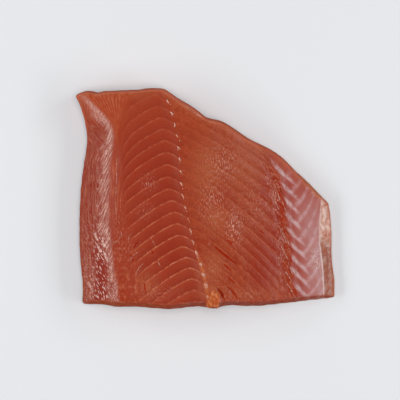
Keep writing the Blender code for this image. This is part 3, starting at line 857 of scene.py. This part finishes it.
low_loin = rise(py, *LOWER_LOIN) * loin * rise(pins, -14.0, -26.0)
wobble = (mottle - 0.5) * (SEPTUM_WOBBLE + RAGGED_WOBBLE * low_loin) + (fine - 0.5) * FINE_WOBBLE
share = (flake + wobble).fraction()
line = rise(0.5 - abs(share - 0.5), *SEPTUM_EDGE)
line_strength = ((loin * (0.22 + 0.5 * broken) + flank * rise(pins, 5.0, 16.0) * (0.15 + 0.35 * broken))
                 * (0.75 + 0.45 * rise(py, 0.0, -22.0) - 0.5 * rise(py, -34.0, -52.0)) * rise(py, 80.0, 10.0))
pin_strip = rise(abs(pins - 0.2), 1.5, 0.4) * rise(py, -24.0, -36.0)
torn_line = line * loin * rise(mottle, 0.52, 0.62) * rise(fine, 0.4, 0.6)
muscle = coats(
    mix(flank, mix(share, LOIN_AFTER, LOIN_BEFORE), mix(share, FLANK_AFTER, FLANK_BEFORE)),
    (rise(slow, 0.5, 0.3) * 0.25, DEEP_RED),
    (rise(slow, 0.5, 0.7) * rise(mottle, 0.4, 0.6) * 0.3, BRIGHT_RED),
    (rise(py, 12.0, 52.0) * 0.2, NAPE_ORANGE),
    (red_places * (0.5 + 0.4 * broken), DEEP_RED),
    (attribute(bench, "pale_patch") * (0.3 + 0.5 * rise(mottle, 0.6, 0.4)), PALE_ORANGE),
    (line * line_strength, SEPTUM),
    (flank * rise(striae, 0.5, 0.7) * 0.25, PALE_STREAK),
    ((loin + flank) * rise(striae, 0.46, 0.3) * 0.16, DEEP_RED),
    (pin_strip * (0.35 + 0.6 * broken), PIN_FAT),
    (torn_line * (0.2 + 0.4 * rise(py, 0.0, -20.0)), TORN_LINE))
print("nodes so far:", len(flesh.node_tree.nodes))

# %% Belly strip, its bands and its edge
BELLY, BELLY_RED, BELLY_HAZE = paint(170, 92, 82), paint(160, 62, 48), paint(188, 140, 138)
FAT, MEMBRANE = paint(206, 174, 174), paint(228, 208, 200)
EDGE_PINK, EDGE_TAN = paint(196, 140, 120), paint(146, 68, 40)
EDGE_ORANGE, EDGE_WHITE = paint(176, 80, 42), paint(236, 212, 200)

apex, edge_band, lump_wire = (attribute(bench, name) for name in ("past_apex", "on_edge_band", "lump"))
left_share = (attribute(bench, "left_band") + (mottle - 0.5) * 0.25).fraction()
right_band = attribute(bench, "right_band") + 0.45 - 0.22 * rise(py, -5.0, -22.0)
right_share = (right_band + (mottle - 0.5) * 0.2).fraction()
left_arms = rise(left_share, -0.1, 0.24) * rise(left_share, 0.54, 0.3) * rise(apex, 4.0, 0.0)
right_arms = hump(right_share, 0.5, 0.3) * rise(apex, -0.8, 1.8) * (0.2 + 0.3 * broken)
haze = rise(apex, -2.0, 9.0) * (0.1 + 0.75 * rise(py, 8.0, -26.0)) * (0.7 + 0.3 * broken)
head_half = rise(py, -34.0, -24.0)
edge_flesh = coats(
    mix(rise(py, -28.0, -18.0), EDGE_TAN, EDGE_PINK),
    # the lumps' hollows turn darker orange and their tops white; the white is pale fat with painted glints
    (rise(lump_wire, 0.16, 0.04) * (0.3 + 0.5 * head_half), EDGE_ORANGE),
    (rise(lump_wire, 0.15, 0.6) * (0.16 + 0.39 * head_half), EDGE_WHITE),
    (rise(upright, 0.5, 0.66) * 0.16, EDGE_WHITE),
    (rise(mottle, 0.5, 0.62) * rise(py, -30.0, -44.0) * 0.5, EDGE_ORANGE))
membrane_line = (rise(abs(attribute(bench, "from_membrane") + (mottle - 0.5) * 0.8), 0.6, 0.1)
                 * rise(py, 4.0, -6.0) * (0.1 + 0.25 * broken + 0.45 * rise(py, -22.0, -32.0)))
# pale streaks of membrane film on the belly, painted with glints where the wet grain glints
film_glint_streaks = rise(upright, 0.5, 0.64) * glint * belly * (1.0 - edge_band)
belly_flesh = coats(
    mix(rise(py, -6.0, 8.0) * 0.7, BELLY, BELLY_RED),
    (hump(left_share, 0.68, 0.4) * rise(apex, 0.5, -4.0), BELLY_RED),
    (haze, BELLY_HAZE),
    (left_arms * (0.35 + 0.45 * broken) * rise(py, 26.0, 14.0), FAT),
    (right_arms * (0.4 + 0.6 * rise(apex, 13.0, 6.0)) * rise(py, 30.0, -4.0), FAT),
    (edge_band, edge_flesh),
    (membrane_line, MEMBRANE),
    (film_glint_streaks * 0.8, MEMBRANE))
print("nodes so far:", len(flesh.node_tree.nodes))

# %% Band along the back
BACK, BACK_DARK, BACK_PALE = paint(156, 76, 58), paint(146, 48, 34), paint(188, 114, 92)
PAINTED_SHEEN, CREASE, CREASE_PALE = paint(232, 194, 182), paint(156, 56, 31), paint(190, 100, 66)

sheen_mask, trough_mask, chevron, fan, from_back = (
    attribute(bench, name) for name in ("sheen", "trough", "chevron", "fan", "from_back"))
fringes = grain(bench, chevron * 4.0, px / 3.0, 6.0, 3.0)
nape_lines = (py + 1.06 * px - 0.6 * from_back + 38.0) * rise(py, 20.0, 34.0)
verticals = grain(bench, (from_back + mottle * 0.8 + nape_lines) / 0.6, py / 9.0, 2.0)
dashes = grain(bench, (px + 0.5 * py) / 0.66, py / 2.2, 5.0, 1.0)
# The sheen's grain paints highlight into the colour; the flecks are pale fibres painted with glints, and the
# speckle on the band's lower left is painted glints.
sheen_grain = (rise(fringes, 0.44, 0.62) * (0.25 + 0.65 * rise(fine, 0.44, 0.62))
               + (rise(py, 28.0, 36.0) * 0.6 + attribute(bench, "blots") * 0.8) * rise(fine, 0.32, 0.54))
fleck_glints = rise(dashes, 0.58, 0.64) * (0.25 + 0.65 * rise(py, -4.0, -22.0)) * (0.35 + 0.65 * trough_mask)
glint_speckle = rise(fine, 0.52, 0.64) * rise(py, -26.0, -42.0) * (1.0 - trough_mask) * 0.4
back_flesh = coats(
    mix(rise(verticals, 0.54, 0.38), BACK, BACK_DARK),
    (rise(verticals, 0.54, 0.66) * 0.6, BACK_PALE),
    # painted shade: the trough is coloured darker red
    (trough_mask, BACK_DARK),
    (rise(py, 34.0, 50.0) * 0.4, NAPE_ORANGE),
    # the shining strip: paler membrane, then the painted highlight
    (sheen_mask * (0.1 + 0.5 * rise(fringes, 0.4, 0.6)), BACK_PALE),
    (sheen_mask * sheen_grain.at_most(1.0), PAINTED_SHEEN),
    (glint_speckle, PAINTED_SHEEN),
    (fleck_glints * rise(from_back, 0.5, 3.0), PAINTED_SHEEN))
crease = (1.0 - loin) * (1.0 - flank) * (1.0 - belly)
fan_share = (fan * 10.0 + (mottle - 0.5) * 1.3).fraction()
lines_fade = rise(py, -8.0, 8.0) * (0.35 + 0.65 * rise(py, 26.0, 34.0))
fan_lines = hump(fan_share, 0.5, 0.42) * (0.25 + 0.55 * broken) * lines_fade * rise(fan, 1.2, 0.8)
crease_grain = grain(bench, ridge / 0.8, py / 11.0, 15.0, 1.0)
crease_streaks = rise(crease_grain, 0.5, 0.62) * rise(py, -20.0, 0.0) * rise(py, 28.0, 16.0)
crease_flesh = coats(
    mix(rise(py, 20.0, 50.0) * 0.35, CREASE, NAPE_ORANGE),
    (fan_lines, CREASE_PALE),
    (crease_streaks * 0.5, CREASE_PALE),
    (rise(mottle, 0.48, 0.66) * rise(py, -10.0, -40.0) * 0.6, CREASE_PALE),
    (rise(mottle, 0.46, 0.34) * 0.3, BRIGHT_RED))
print("nodes so far:", len(flesh.node_tree.nodes))

# %% Cut walls
CUT_WALL, CUT_WALL_PALE = paint(152, 72, 64), paint(182, 98, 80)
EDGE_WALL, BACK_WALL, BELLY_WALL = paint(196, 94, 72), paint(140, 62, 44), paint(192, 118, 88)
WALL_SEPTUM, RIM_GLOW, BROWN_MEAT = paint(204, 130, 100), paint(212, 130, 100), paint(164, 90, 68)
SKIN_FAT, SKIN_EDGE = paint(206, 160, 140), paint(146, 144, 142)
WALL_SEPTA_LEAN = 0.13

wall_lines = grain(bench, pz / 1.1 + px / 7.0, (px + py) / 9.0, 1.0, 3.0)
wall_fibres = grain(bench, (px - py) / 0.7, pz / 2.6, 14.0)
wall_flake = flake + pz * WALL_SEPTA_LEAN + (mottle - 0.5) * 0.2
wall_septa = hump(wall_flake.fraction(), 0.5, 0.18) * (0.2 + 0.4 * broken)
tail_flesh = coats(mix(rise(px, -8.0, -26.0), CUT_WALL, LOIN_AFTER),
                   (rise(wall_lines, 0.5, 0.68) * 0.5, CUT_WALL_PALE))
side_flesh = coats(mix(rise(px, -50.0, -58.0) * rise(py, 46.0, 30.0), EDGE_WALL, BACK_WALL),
                   (rise(px, 44.0, 58.0), BELLY_WALL))
wall_flesh = coats(
    mix(attribute(bench, "tail_wall"), side_flesh, tail_flesh),
    (rise(slow, 0.44, 0.6) * 0.5 + rise(wall_lines, 0.5, 0.34) * 0.3, LOIN_AFTER),
    (rise(wall_fibres, 0.5, 0.7) * 0.3, WALL_SEPTUM),
    (wall_septa * rise(pz, 2.0, 5.0), WALL_SEPTUM),
    # painted glow along the wall's top, where light comes through the thin rim
    (thin * rise(pz, 6.0, 12.0) * 0.35, RIM_GLOW),
    (rise(pz, 6.0, 2.5) * 0.6, BROWN_MEAT),
    (rise(pz, 2.0, 1.4) * 0.8, SKIN_FAT),
    (rise(pz, 0.9, 0.6), SKIN_EDGE))
print("nodes so far:", len(flesh.node_tree.nodes))

# %% Lay the zones together, with tears, a painted glow at thin edges and painted glints on wet grain
TORN_RED, TORN_PALE_AND_GLINT = paint(150, 28, 8), paint(214, 160, 146)
THIN_EDGE_GLOW, FIBRE_GLINT_SPECK = paint(186, 98, 60), paint(220, 166, 146)

tear_u = (TEAR_SLOPE * px + py) / tear_run
tear_v = (px - TEAR_SLOPE * py) / tear_run
shreds = grain(bench, tear_u / 0.8, tear_v / 2.6, 8.0, 3.0)
tattered = rise(shreds, 0.58, 0.68) * rise(mottle, 0.42, 0.6)
fibres = (rise(upright, 0.4, 0.7) * rise(mottle, 0.38, 0.6) * (0.1 * loin + 0.62 * flank)
          * (1.0 - 0.9 * red_places))
# painted glints on wet grain, over pale fibres
fibre_glint_specks = rise(squiggles, 0.52, 0.63) * glint * 0.9
flesh_colour = coats(
    muscle,
    (belly, belly_flesh),
    (crease, crease_flesh),
    (back, back_flesh),
    (tear * rise(shreds, 0.58, 0.4) * 0.7 * (1.0 - 0.6 * belly), TORN_RED),
    # pale torn tissue, painted with glints
    (tear * tattered * rise(py, 20.0, 8.0) * 0.55, TORN_PALE_AND_GLINT),
    # painted glow where light comes through thin flesh
    (thin * (0.15 + 0.6 * broken), THIN_EDGE_GLOW),
    (fibres * on_top, PALE_STREAK),
    (fibre_glint_specks * on_top * (1.0 - belly), FIBRE_GLINT_SPECK),
    # the gapes: deeper red flesh, darkened as painted shade in the openings
    (rise(gape_mask, 0.05, 0.9) * 0.85, TORN_RED),
    (wall_mask * 0.9, wall_flesh))
print("nodes so far:", len(flesh.node_tree.nodes))

# %% Wetness and the final surface
BUMP_STRENGTH, BUMP_DISTANCE = 0.7, 0.28
SUBSURFACE = {"Subsurface Weight": 0.25, "Subsurface Radius": (1.0, 0.32, 0.18), "Subsurface Scale": 1.1 * MM}
MATT_ROUGHNESS = 0.8

relief = (fine * 0.5 + upright * (0.15 + 0.9 * glint) + striae * 0.5 * (loin + flank)
          + (wall_lines + wall_fibres) * 1.2 * wall_mask + (fringes * 0.9 + dashes * 0.9) * back
          + shreds * 1.8 * tear)
bumped = bench.add("ShaderNodeBump", None, {"Strength": BUMP_STRENGTH, "Distance": BUMP_DISTANCE * MM,
                                            "Height": relief})
shine = sheen_mask + glint + tear + edge_band * (0.1 + 0.9 * rise(py, -30.0, -20.0))
wet_film = ((0.12 + 0.8 * shine * rise(fine, 0.36, 0.6)) * (1.0 - 0.8 * crease)).at_most(1.0)
surface = fill_shader(
    flesh, {**SUBSURFACE, "Specular IOR Level": 0.3, "Coat Roughness": 0.1, "Coat IOR": 1.38},
    {"Base Color": flesh_colour, "Roughness": 0.4 - 0.14 * fine, "Coat Weight": wet_film, "Normal": bumped})
matt = bench.add("ShaderNodeBsdfPrincipled", None, {
    **SUBSURFACE, "Base Color": flesh_colour, "Normal": bumped, "Specular IOR Level": 0.0,
    "Roughness": MATT_ROUGHNESS})
dull = (back * (1.0 - sheen_mask) * (1.0 - fleck_glints) * 0.8 + back * rise(py, 30.0, 44.0) * 0.5
        + crease * (1.0 - back) * rise(ridge, 7.0, 1.0) * 0.5
        + rise(gape_mask, 0.0, 0.4) + tear * (1.0 - tattered) * 0.85)
matt_mask = wall_mask.math("MAXIMUM", wall_mask, dull.at_most(1.0))
wet = Wire(bench.tree, surface.outputs[0])
blended = bench.add("ShaderNodeMixShader", None, {0: matt_mask, 1: wet, 2: matt})
flesh.node_tree.links.new(blended.socket, flesh.node_tree.nodes["Material Output"].inputs["Surface"])
wear(flesh_mesh, flesh)
print("nodes in the flesh:", len(flesh.node_tree.nodes))

# %% Put the flesh in the place of the solid
def place_piece(name, mesh, *replaced):
    """A finished mesh becomes a piece that rides on the fillet's body."""
    piece = bpy.data.objects.new(name, mesh)
    bpy.context.scene.collection.objects.link(piece)
    if replaced:
        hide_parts(*replaced)
    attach(piece, "root")
    return piece


place_piece("salmon_flesh", flesh_mesh, "fillet")

# %% [markdown]
# ## Pin-bone ends, torn tissue and a loose flap
#
# Where the pin bones were pulled, each septum shows a small white end. Shreds of pale
# tissue lie along the rib edge and the back's crease, and one torn flap hangs over the tail
# end. Each is a separate bit of tissue that lies on the flesh, so it is made as its own
# small form and dropped onto the surface: a ray from above finds the height there.

# %% Find the flesh's height under any point
from mathutils.bvhtree import BVHTree

RAY_TOP = 60.0
surface_tree = BVHTree.FromPolygons([Vector(p) for p in moved.tolist()],
                                    [tuple(face.vertices) for face in flesh_mesh.polygons])


def flesh_height(x, y):
    """The height of the flesh at a plan point, or 0 where there is none."""
    hit = surface_tree.ray_cast(Vector((x, y, RAY_TOP)), Vector((0.0, 0.0, -1.0)))[0]
    return hit.z if hit else 0.0


print("height at the pin bones' middle:", round(flesh_height(float(pin_x(0.0)), 0.0), 2), "mm")

# %% Shape the strands of pale tissue
STRANDS = (
    (((42.3, -38.4), (44.4, -41.6), (46.5, -45.3)), 0.75),
    (((42.8, -44.2), (44.9, -47.4), (47.6, -52.2), (49.7, -54.3)), 0.8),
    (((41.2, -17.7), (43.4, -22.0), (44.9, -25.7)), 0.7),
    (((39.1, -14.6), (41.8, -20.9), (42.8, -23.6)), 0.9),
    (((40.2, -25.1), (42.3, -29.4), (43.9, -32.6)), 0.8),
    (((37.5, 6.1), (38.6, 1.9), (40.2, -2.4)), 0.9),
    (((36.5, 1.4), (37.5, -2.4), (39.1, -6.6)), 0.8),
    (((41.2, -2.4), (42.8, -7.1), (44.4, -11.4), (45.5, -15.1)), 0.6),
    (((43.9, -33.6), (45.5, -37.9), (46.5, -41.6)), 0.6),
    (((-47.0, 25.7), (-46.6, 12.5), (-47.2, -0.8), (-46.4, -14.0)), 0.4),
    (((-44.1, -16.7), (-44.6, -19.8), (-46.2, -22.0), (-50.5, -25.1)), 0.45),
    (((-28.7, -20.4), (-27.7, -22.5), (-26.6, -24.6)), 0.45),
    (((-25.0, -33.1), (-23.4, -36.3)), 0.4),
    (((-40.7, -23.7), (-39.7, -19.1), (-37.7, -17.2)), 0.45),
    (((-39.9, -33.6), (-37.7, -29.9), (-34.0, -27.3)), 0.45),
    (((-36.7, -40.5), (-35.1, -36.8), (-31.9, -33.6)), 0.4),
    (((58.2, -30.5), (59.6, -35.7), (60.6, -40.5)), 0.6),
    (((-10.4, 48.4), (-9.1, 47.7), (-8.0, 47.0)), 0.8),
    (((-7.3, 46.2), (-5.2, 44.9), (-3.5, 43.9), (-1.9, 43.0)), 0.6),
)
STRAND_STEP = 0.45
STRAND_SIDES = 6
STRAND_HEIGHT = 0.5
STRAND_SINK = 0.03
STRAND_TAPER = 0.6
STRAND_BEADS = (0.75, 0.6, 0.9)
STRAND_STRAY = 0.3


def strand_course(path):
    """Points one step apart along a smooth line through the path."""
    path = np.array(path)
    reach = np.concatenate([[0.0], np.cumsum(np.linalg.norm(np.diff(path, axis=0), axis=1))])
    even = np.linspace(0.0, reach[-1], max(4, round(reach[-1] / STRAND_STEP)))
    return smooth_through(reach, path)(even)


def add_band(net, near, far):
    """Faces between two rings of points."""
    for i, j in zip(range(len(near)), (*range(1, len(near)), 0)):
        net.faces.new((near[i], far[i], far[j], near[j]))


def add_strand(net, path, width):
    """A flat, beaded thread of tissue that tapers at both ends."""
    course = strand_course(path)
    along = np.gradient(course, axis=0)
    side = np.stack([-along[:, 1], along[:, 0]], axis=1)
    side /= np.linalg.norm(side, axis=1)[:, None]
    rings = []
    for number, ((x, y), (side_x, side_y)) in enumerate(zip(course, side)):
        taper = math.sin(math.pi * (number + 0.6) / (len(course) + 0.2)) ** STRAND_TAPER
        least, swell, often = STRAND_BEADS
        beads = least + swell * noise.noise((x * often, y * often, 3.0))
        half = 0.5 * width * taper * beads
        x, y = (c + STRAND_STRAY * noise.noise((x, y, seed)) for c, seed in ((x, 7.0), (y, 8.0)))
        middle = flesh_height(x, y) - STRAND_SINK
        ring = []
        for corner in range(STRAND_SIDES):
            angle = 2.0 * math.pi * corner / STRAND_SIDES
            out, up = half * math.cos(angle), STRAND_HEIGHT * half * math.sin(angle)
            ring.append(net.verts.new((x + side_x * out, y + side_y * out, middle + up)))
        rings.append(ring)
    for near, far in zip(rings, rings[1:]):
        add_band(net, near, far)
    net.faces.new(rings[0][::-1])
    net.faces.new(rings[-1])


def finish_net(net, name):
    """A net in millimetres becomes a mesh in metres with its faces turned outwards."""
    bmesh.ops.recalc_face_normals(net, faces=net.faces[:])
    bmesh.ops.scale(net, vec=(MM, MM, MM), verts=net.verts[:])
    mesh = bpy.data.meshes.new(name)
    net.to_mesh(mesh)
    net.free()
    return mesh


net = bmesh.new()
for path, width in STRANDS:
    add_strand(net, path, width)
strand_mesh = finish_net(net, "tissue_strands")
print("strands:", len(STRANDS), "with", len(strand_mesh.polygons), "faces")

# %% Shape the pin-bone ends
PIN_SIZE = (0.45, 1.5, 0.22)
PIN_SWELL = (0.45, 1.3)
PIN_LEAN, PIN_LEAN_STRAY = math.radians(28.0), 0.5
PIN_FIRST, PIN_LAST = 2, 20
PIN_SCALE = (0.9, 0.6)
PIN_GROWTH, PIN_GROWS = 1.5, (-25.0, -40.0)
SPECK_SCALE, SPECK_DROP, SPECK_SHIFT = 0.34, (1.5, 2.0), 1.8
PIN_LOWEST = 5.0
PIN_SEARCH, PIN_SEARCH_STEPS = 62.0, 1500


def add_pin(net, x, y, scale, seed, stout=1.0):
    """A small uneven bead, longer than wide, sunk half into the flesh."""
    made = bmesh.ops.create_icosphere(net, subdivisions=2, radius=1.0)["verts"]
    bottom = flesh_height(x, y)
    lean = PIN_LEAN + PIN_LEAN_STRAY * noise.noise((seed, 5.0, 0.0))
    for vertex in made:
        swell = 1.0 + PIN_SWELL[0] * noise.noise(vertex.co * PIN_SWELL[1] + Vector((seed, 0.0, 0.0)))
        across, along, up = (c * s * scale * swell * fat
                             for c, s, fat in zip(vertex.co, PIN_SIZE, (stout, 1.0, 1.0)))
        vertex.co = (x + across * math.cos(lean) + along * math.sin(lean),
                     y + across * math.sin(lean) - along * math.cos(lean), bottom + up)


pin_levels = np.linspace(PIN_SEARCH, -PIN_SEARCH, PIN_SEARCH_STEPS)
pin_numbers = flake_number(pin_x(pin_levels), pin_levels)
net = bmesh.new()
for number in range(PIN_FIRST, PIN_LAST + 1):
    y = float(np.interp(number, pin_numbers, pin_levels))
    x = float(pin_x(y))
    if flesh_height(x, y) < PIN_LOWEST:
        continue
    size = PIN_SCALE[0] + PIN_SCALE[1] * noise.noise((number * 1.7, 2.0, 0.0))
    add_pin(net, x, y, size, number * 3.1, 1.0 + PIN_GROWTH * ease(*PIN_GROWS, y))
    drop = SPECK_DROP[0] + SPECK_DROP[1] * noise.noise((number * 2.3, 0.0, 1.0))
    shift = SPECK_SHIFT * noise.noise((number * 1.3, 0.0, 6.0))
    if flesh_height(x + shift, y - drop) > PIN_LOWEST:
        add_pin(net, float(pin_x(y - drop)) + shift, y - drop, SPECK_SCALE, number * 7.7)
pin_mesh = finish_net(net, "pin_bone_ends")
print("pin-bone faces:", len(pin_mesh.polygons))

# %% Shape the torn flap at the tail end
FLAP_MIDDLE = (4.4, -53.0)
FLAP_OUTLINE = ((0.7, -57.2), (1.2, -53.2), (2.0, -50.6), (3.6, -48.5), (6.0, -48.7), (7.8, -51.1),
                (7.6, -54.3), (6.5, -58.0), (4.7, -57.0), (2.8, -57.7))
FLAP_THICKNESS = 0.35
FLAP_ROLL = (0.3, 0.84, 0.12)
FLAP_CRUMPLE = (0.6, 0.5, 0.35)
FLAP_SINK = 0.3
FLAP_FRAY = 0.16
FLAP_RINGS, FLAP_SPOKES = 18, 64
FLAP_HANG = (20.1, -55.4, 0.42)


def drape(x, y):
    """Where the flap lies at a plan point, on the flesh or hanging past its edge, and which way is out."""
    top, edge_y, sag = FLAP_HANG
    past = max(edge_y - y, 0.0)
    hanging = Vector((x, y, top - sag * past ** 2))
    hit, outward, _, _ = surface_tree.ray_cast(Vector((x, y, RAY_TOP)), Vector((0.0, 0.0, -1.0)))
    if hit and hit.z > hanging.z:
        return hit, outward
    return hanging, Vector((0.0, -2.0 * sag * past, 1.0)).normalized()


def flap_rim(share):
    """A point on the flap's closed, rounded outline, for a share of the way round from 0 to 1."""
    place = share * len(FLAP_OUTLINE)
    first = int(place) % len(FLAP_OUTLINE)
    before, start, end, after = (np.array(FLAP_OUTLINE[(first + step) % len(FLAP_OUTLINE)])
                                 for step in (-1, 0, 1, 2))
    t = place - int(place)
    return (start + 0.5 * t * (end - before + t * (2 * before - 5 * start + 4 * end - after
                                                   + t * (3 * (start - end) + after - before))))


def build_flap():
    """A ragged lobe of flesh with a rolled rim, draped over the tail edge."""
    roll, roll_at, roll_reach = FLAP_ROLL
    crease_rise, often_x, often_y = FLAP_CRUMPLE
    net = bmesh.new()
    rim_points = [flap_rim(spoke / FLAP_SPOKES) for spoke in range(FLAP_SPOKES)]
    layers = []
    for top in (True, False):
        rings = []
        for ring in range(1, FLAP_RINGS + 1):
            share = ring / FLAP_RINGS
            spokes = []
            for edge_x, edge_y in rim_points:
                ragged = share * (1.0 + FLAP_FRAY * noise.noise((edge_x, edge_y, 9.0)))
                x, y = (m + ragged * (e - m) for m, e in zip(FLAP_MIDDLE, (edge_x, edge_y)))
                place, outward = drape(x, y)
                crumple = 1.0 + crease_rise * noise.noise((x * often_x, y * often_y, 2.0))
                lift = (FLAP_THICKNESS + roll * math.exp(-((share - roll_at) / roll_reach) ** 2)) * crumple
                lift *= math.sqrt(1.0 - share ** 8)
                spokes.append(net.verts.new(place + outward * (lift if top else -FLAP_SINK)))
            rings.append(spokes)
        layers.append(rings)
        place, outward = drape(*FLAP_MIDDLE)
        centre = net.verts.new(place + outward * (FLAP_THICKNESS if top else -FLAP_SINK))
        for spoke in range(FLAP_SPOKES):
            net.faces.new((centre, rings[0][spoke], rings[0][(spoke + 1) % FLAP_SPOKES]))
        for near, far in zip(rings, rings[1:]):
            add_band(net, near, far)
    add_band(net, layers[0][-1], layers[1][-1])
    return finish_net(net, "torn_flap")


flap_mesh = build_flap()
print("flap faces:", len(flap_mesh.polygons))

# %% Finish the tissue and put it in place
TISSUES = (
    ("tissue_strands", strand_mesh, paint(176, 98, 78), paint(222, 172, 156), 0.4, 0.6),
    ("pin_bone_ends", pin_mesh, paint(204, 132, 108), paint(226, 184, 168), 0.4, 0.15),
    ("torn_flap", flap_mesh, paint(182, 86, 40), paint(206, 126, 84), 0.6, 0.1))
TISSUE_CLOUD = (1.2, 1.6)
TISSUE_BUMP, TISSUE_BUMP_DISTANCE = 0.5, 0.2


def tissue_finish(name, colour, pale, subsurface, wetness):
    """Wet, half clear tissue: one tone with a paler one in its grain."""
    made, tissue, x, y, z = new_material(name)
    across, along = TISSUE_CLOUD
    clouds = grain(tissue, x / across, y / along, z / across)
    pits = tissue.add("ShaderNodeBump", None, {"Strength": TISSUE_BUMP, "Distance": TISSUE_BUMP_DISTANCE * MM,
                                               "Height": clouds})
    fill_shader(made, {**SUBSURFACE, "Subsurface Weight": subsurface, "Coat Roughness": 0.1,
                       "Coat Weight": wetness, "Specular IOR Level": 0.5 * wetness},
                {"Base Color": mix(rise(clouds, 0.42, 0.64), colour, pale),
                 "Roughness": 0.5 - 0.2 * clouds, "Normal": pits})
    return made


for name, mesh, *look in TISSUES:
    wear(mesh, tissue_finish(name + "_finish", *look))
    place_piece(name, mesh)

# %% [markdown]
# ## Skin
#
# Coho is steel blue and finely spotted along the back, silver on the side and nearly white
# on the belly, under small overlapping scales. The scales lie in rows, each row half a scale
# along from the next. So a point's distance to the nearest scale's middle is the smaller of
# its distances in two sets of cells, one moved on by half. A Voronoi texture is not used, as
# its cells line up in squares.

# %% Colour the skin and close the underside
SKIN_BACK, SKIN_SIDE, SKIN_BELLY = paint(62, 74, 84), paint(168, 172, 176), paint(222, 218, 214)
SCALE_EDGE, SKIN_CLOUD, SKIN_SPOT = paint(96, 100, 104), paint(120, 128, 134), paint(28, 30, 34)
SCALE_ROWS = (2.3, 3.2)
SCALE_STRAY = 0.5
SCALE_BUMP, SCALE_BUMP_DISTANCE = 0.5, 0.3

skin, hide, sx, sy = new_material("silver_skin", "XY")
patches = grain(hide, sx / 3.0, sy / 3.0, 1.0)


def scale_row(shift):
    """How far each point is from the middle of its scale, in the rows moved along by a shift."""
    across, along = ((place / size + SCALE_STRAY * patches + shift).fraction() - 0.5
                     for place, size in zip((sx, sy), SCALE_ROWS))
    return (across * across + along * along) ** 0.5


first_rows, next_rows = scale_row(0.0), scale_row(0.5)
scale_dome = first_rows.at_most(next_rows)
spots = rise(grain(hide, sx / 2.2, sy / 2.2, 7.0, 0.0), 0.66, 0.72) * rise(sx, -16.0, -44.0)
skin_colour = coats(
    mix(rise(sx, -58.0, -5.0), SKIN_BACK, SKIN_SIDE),
    (rise(sx, 10.0, 55.0), SKIN_BELLY),
    (rise(scale_dome, 0.24, 0.5) * 0.5, SCALE_EDGE),
    (rise(patches, 0.5, 0.7) * 0.25, SKIN_CLOUD),
    (spots * 0.8, SKIN_SPOT))
scale_bump = hide.add("ShaderNodeBump", None, {"Strength": SCALE_BUMP, "Distance": SCALE_BUMP_DISTANCE * MM,
                                               "Height": 1.0 - scale_dome})
fill_shader(skin, {"Coat Weight": 0.4, "Coat Roughness": 0.15},
            {"Base Color": skin_colour, "Roughness": 0.28 + 0.2 * patches,
             "Metallic": rise(sx, -60.0, -10.0) * 0.35, "Normal": scale_bump})
wear(skin_mesh, skin)
place_piece("salmon_skin", skin_mesh)
print("skin points:", len(skin_mesh.vertices))
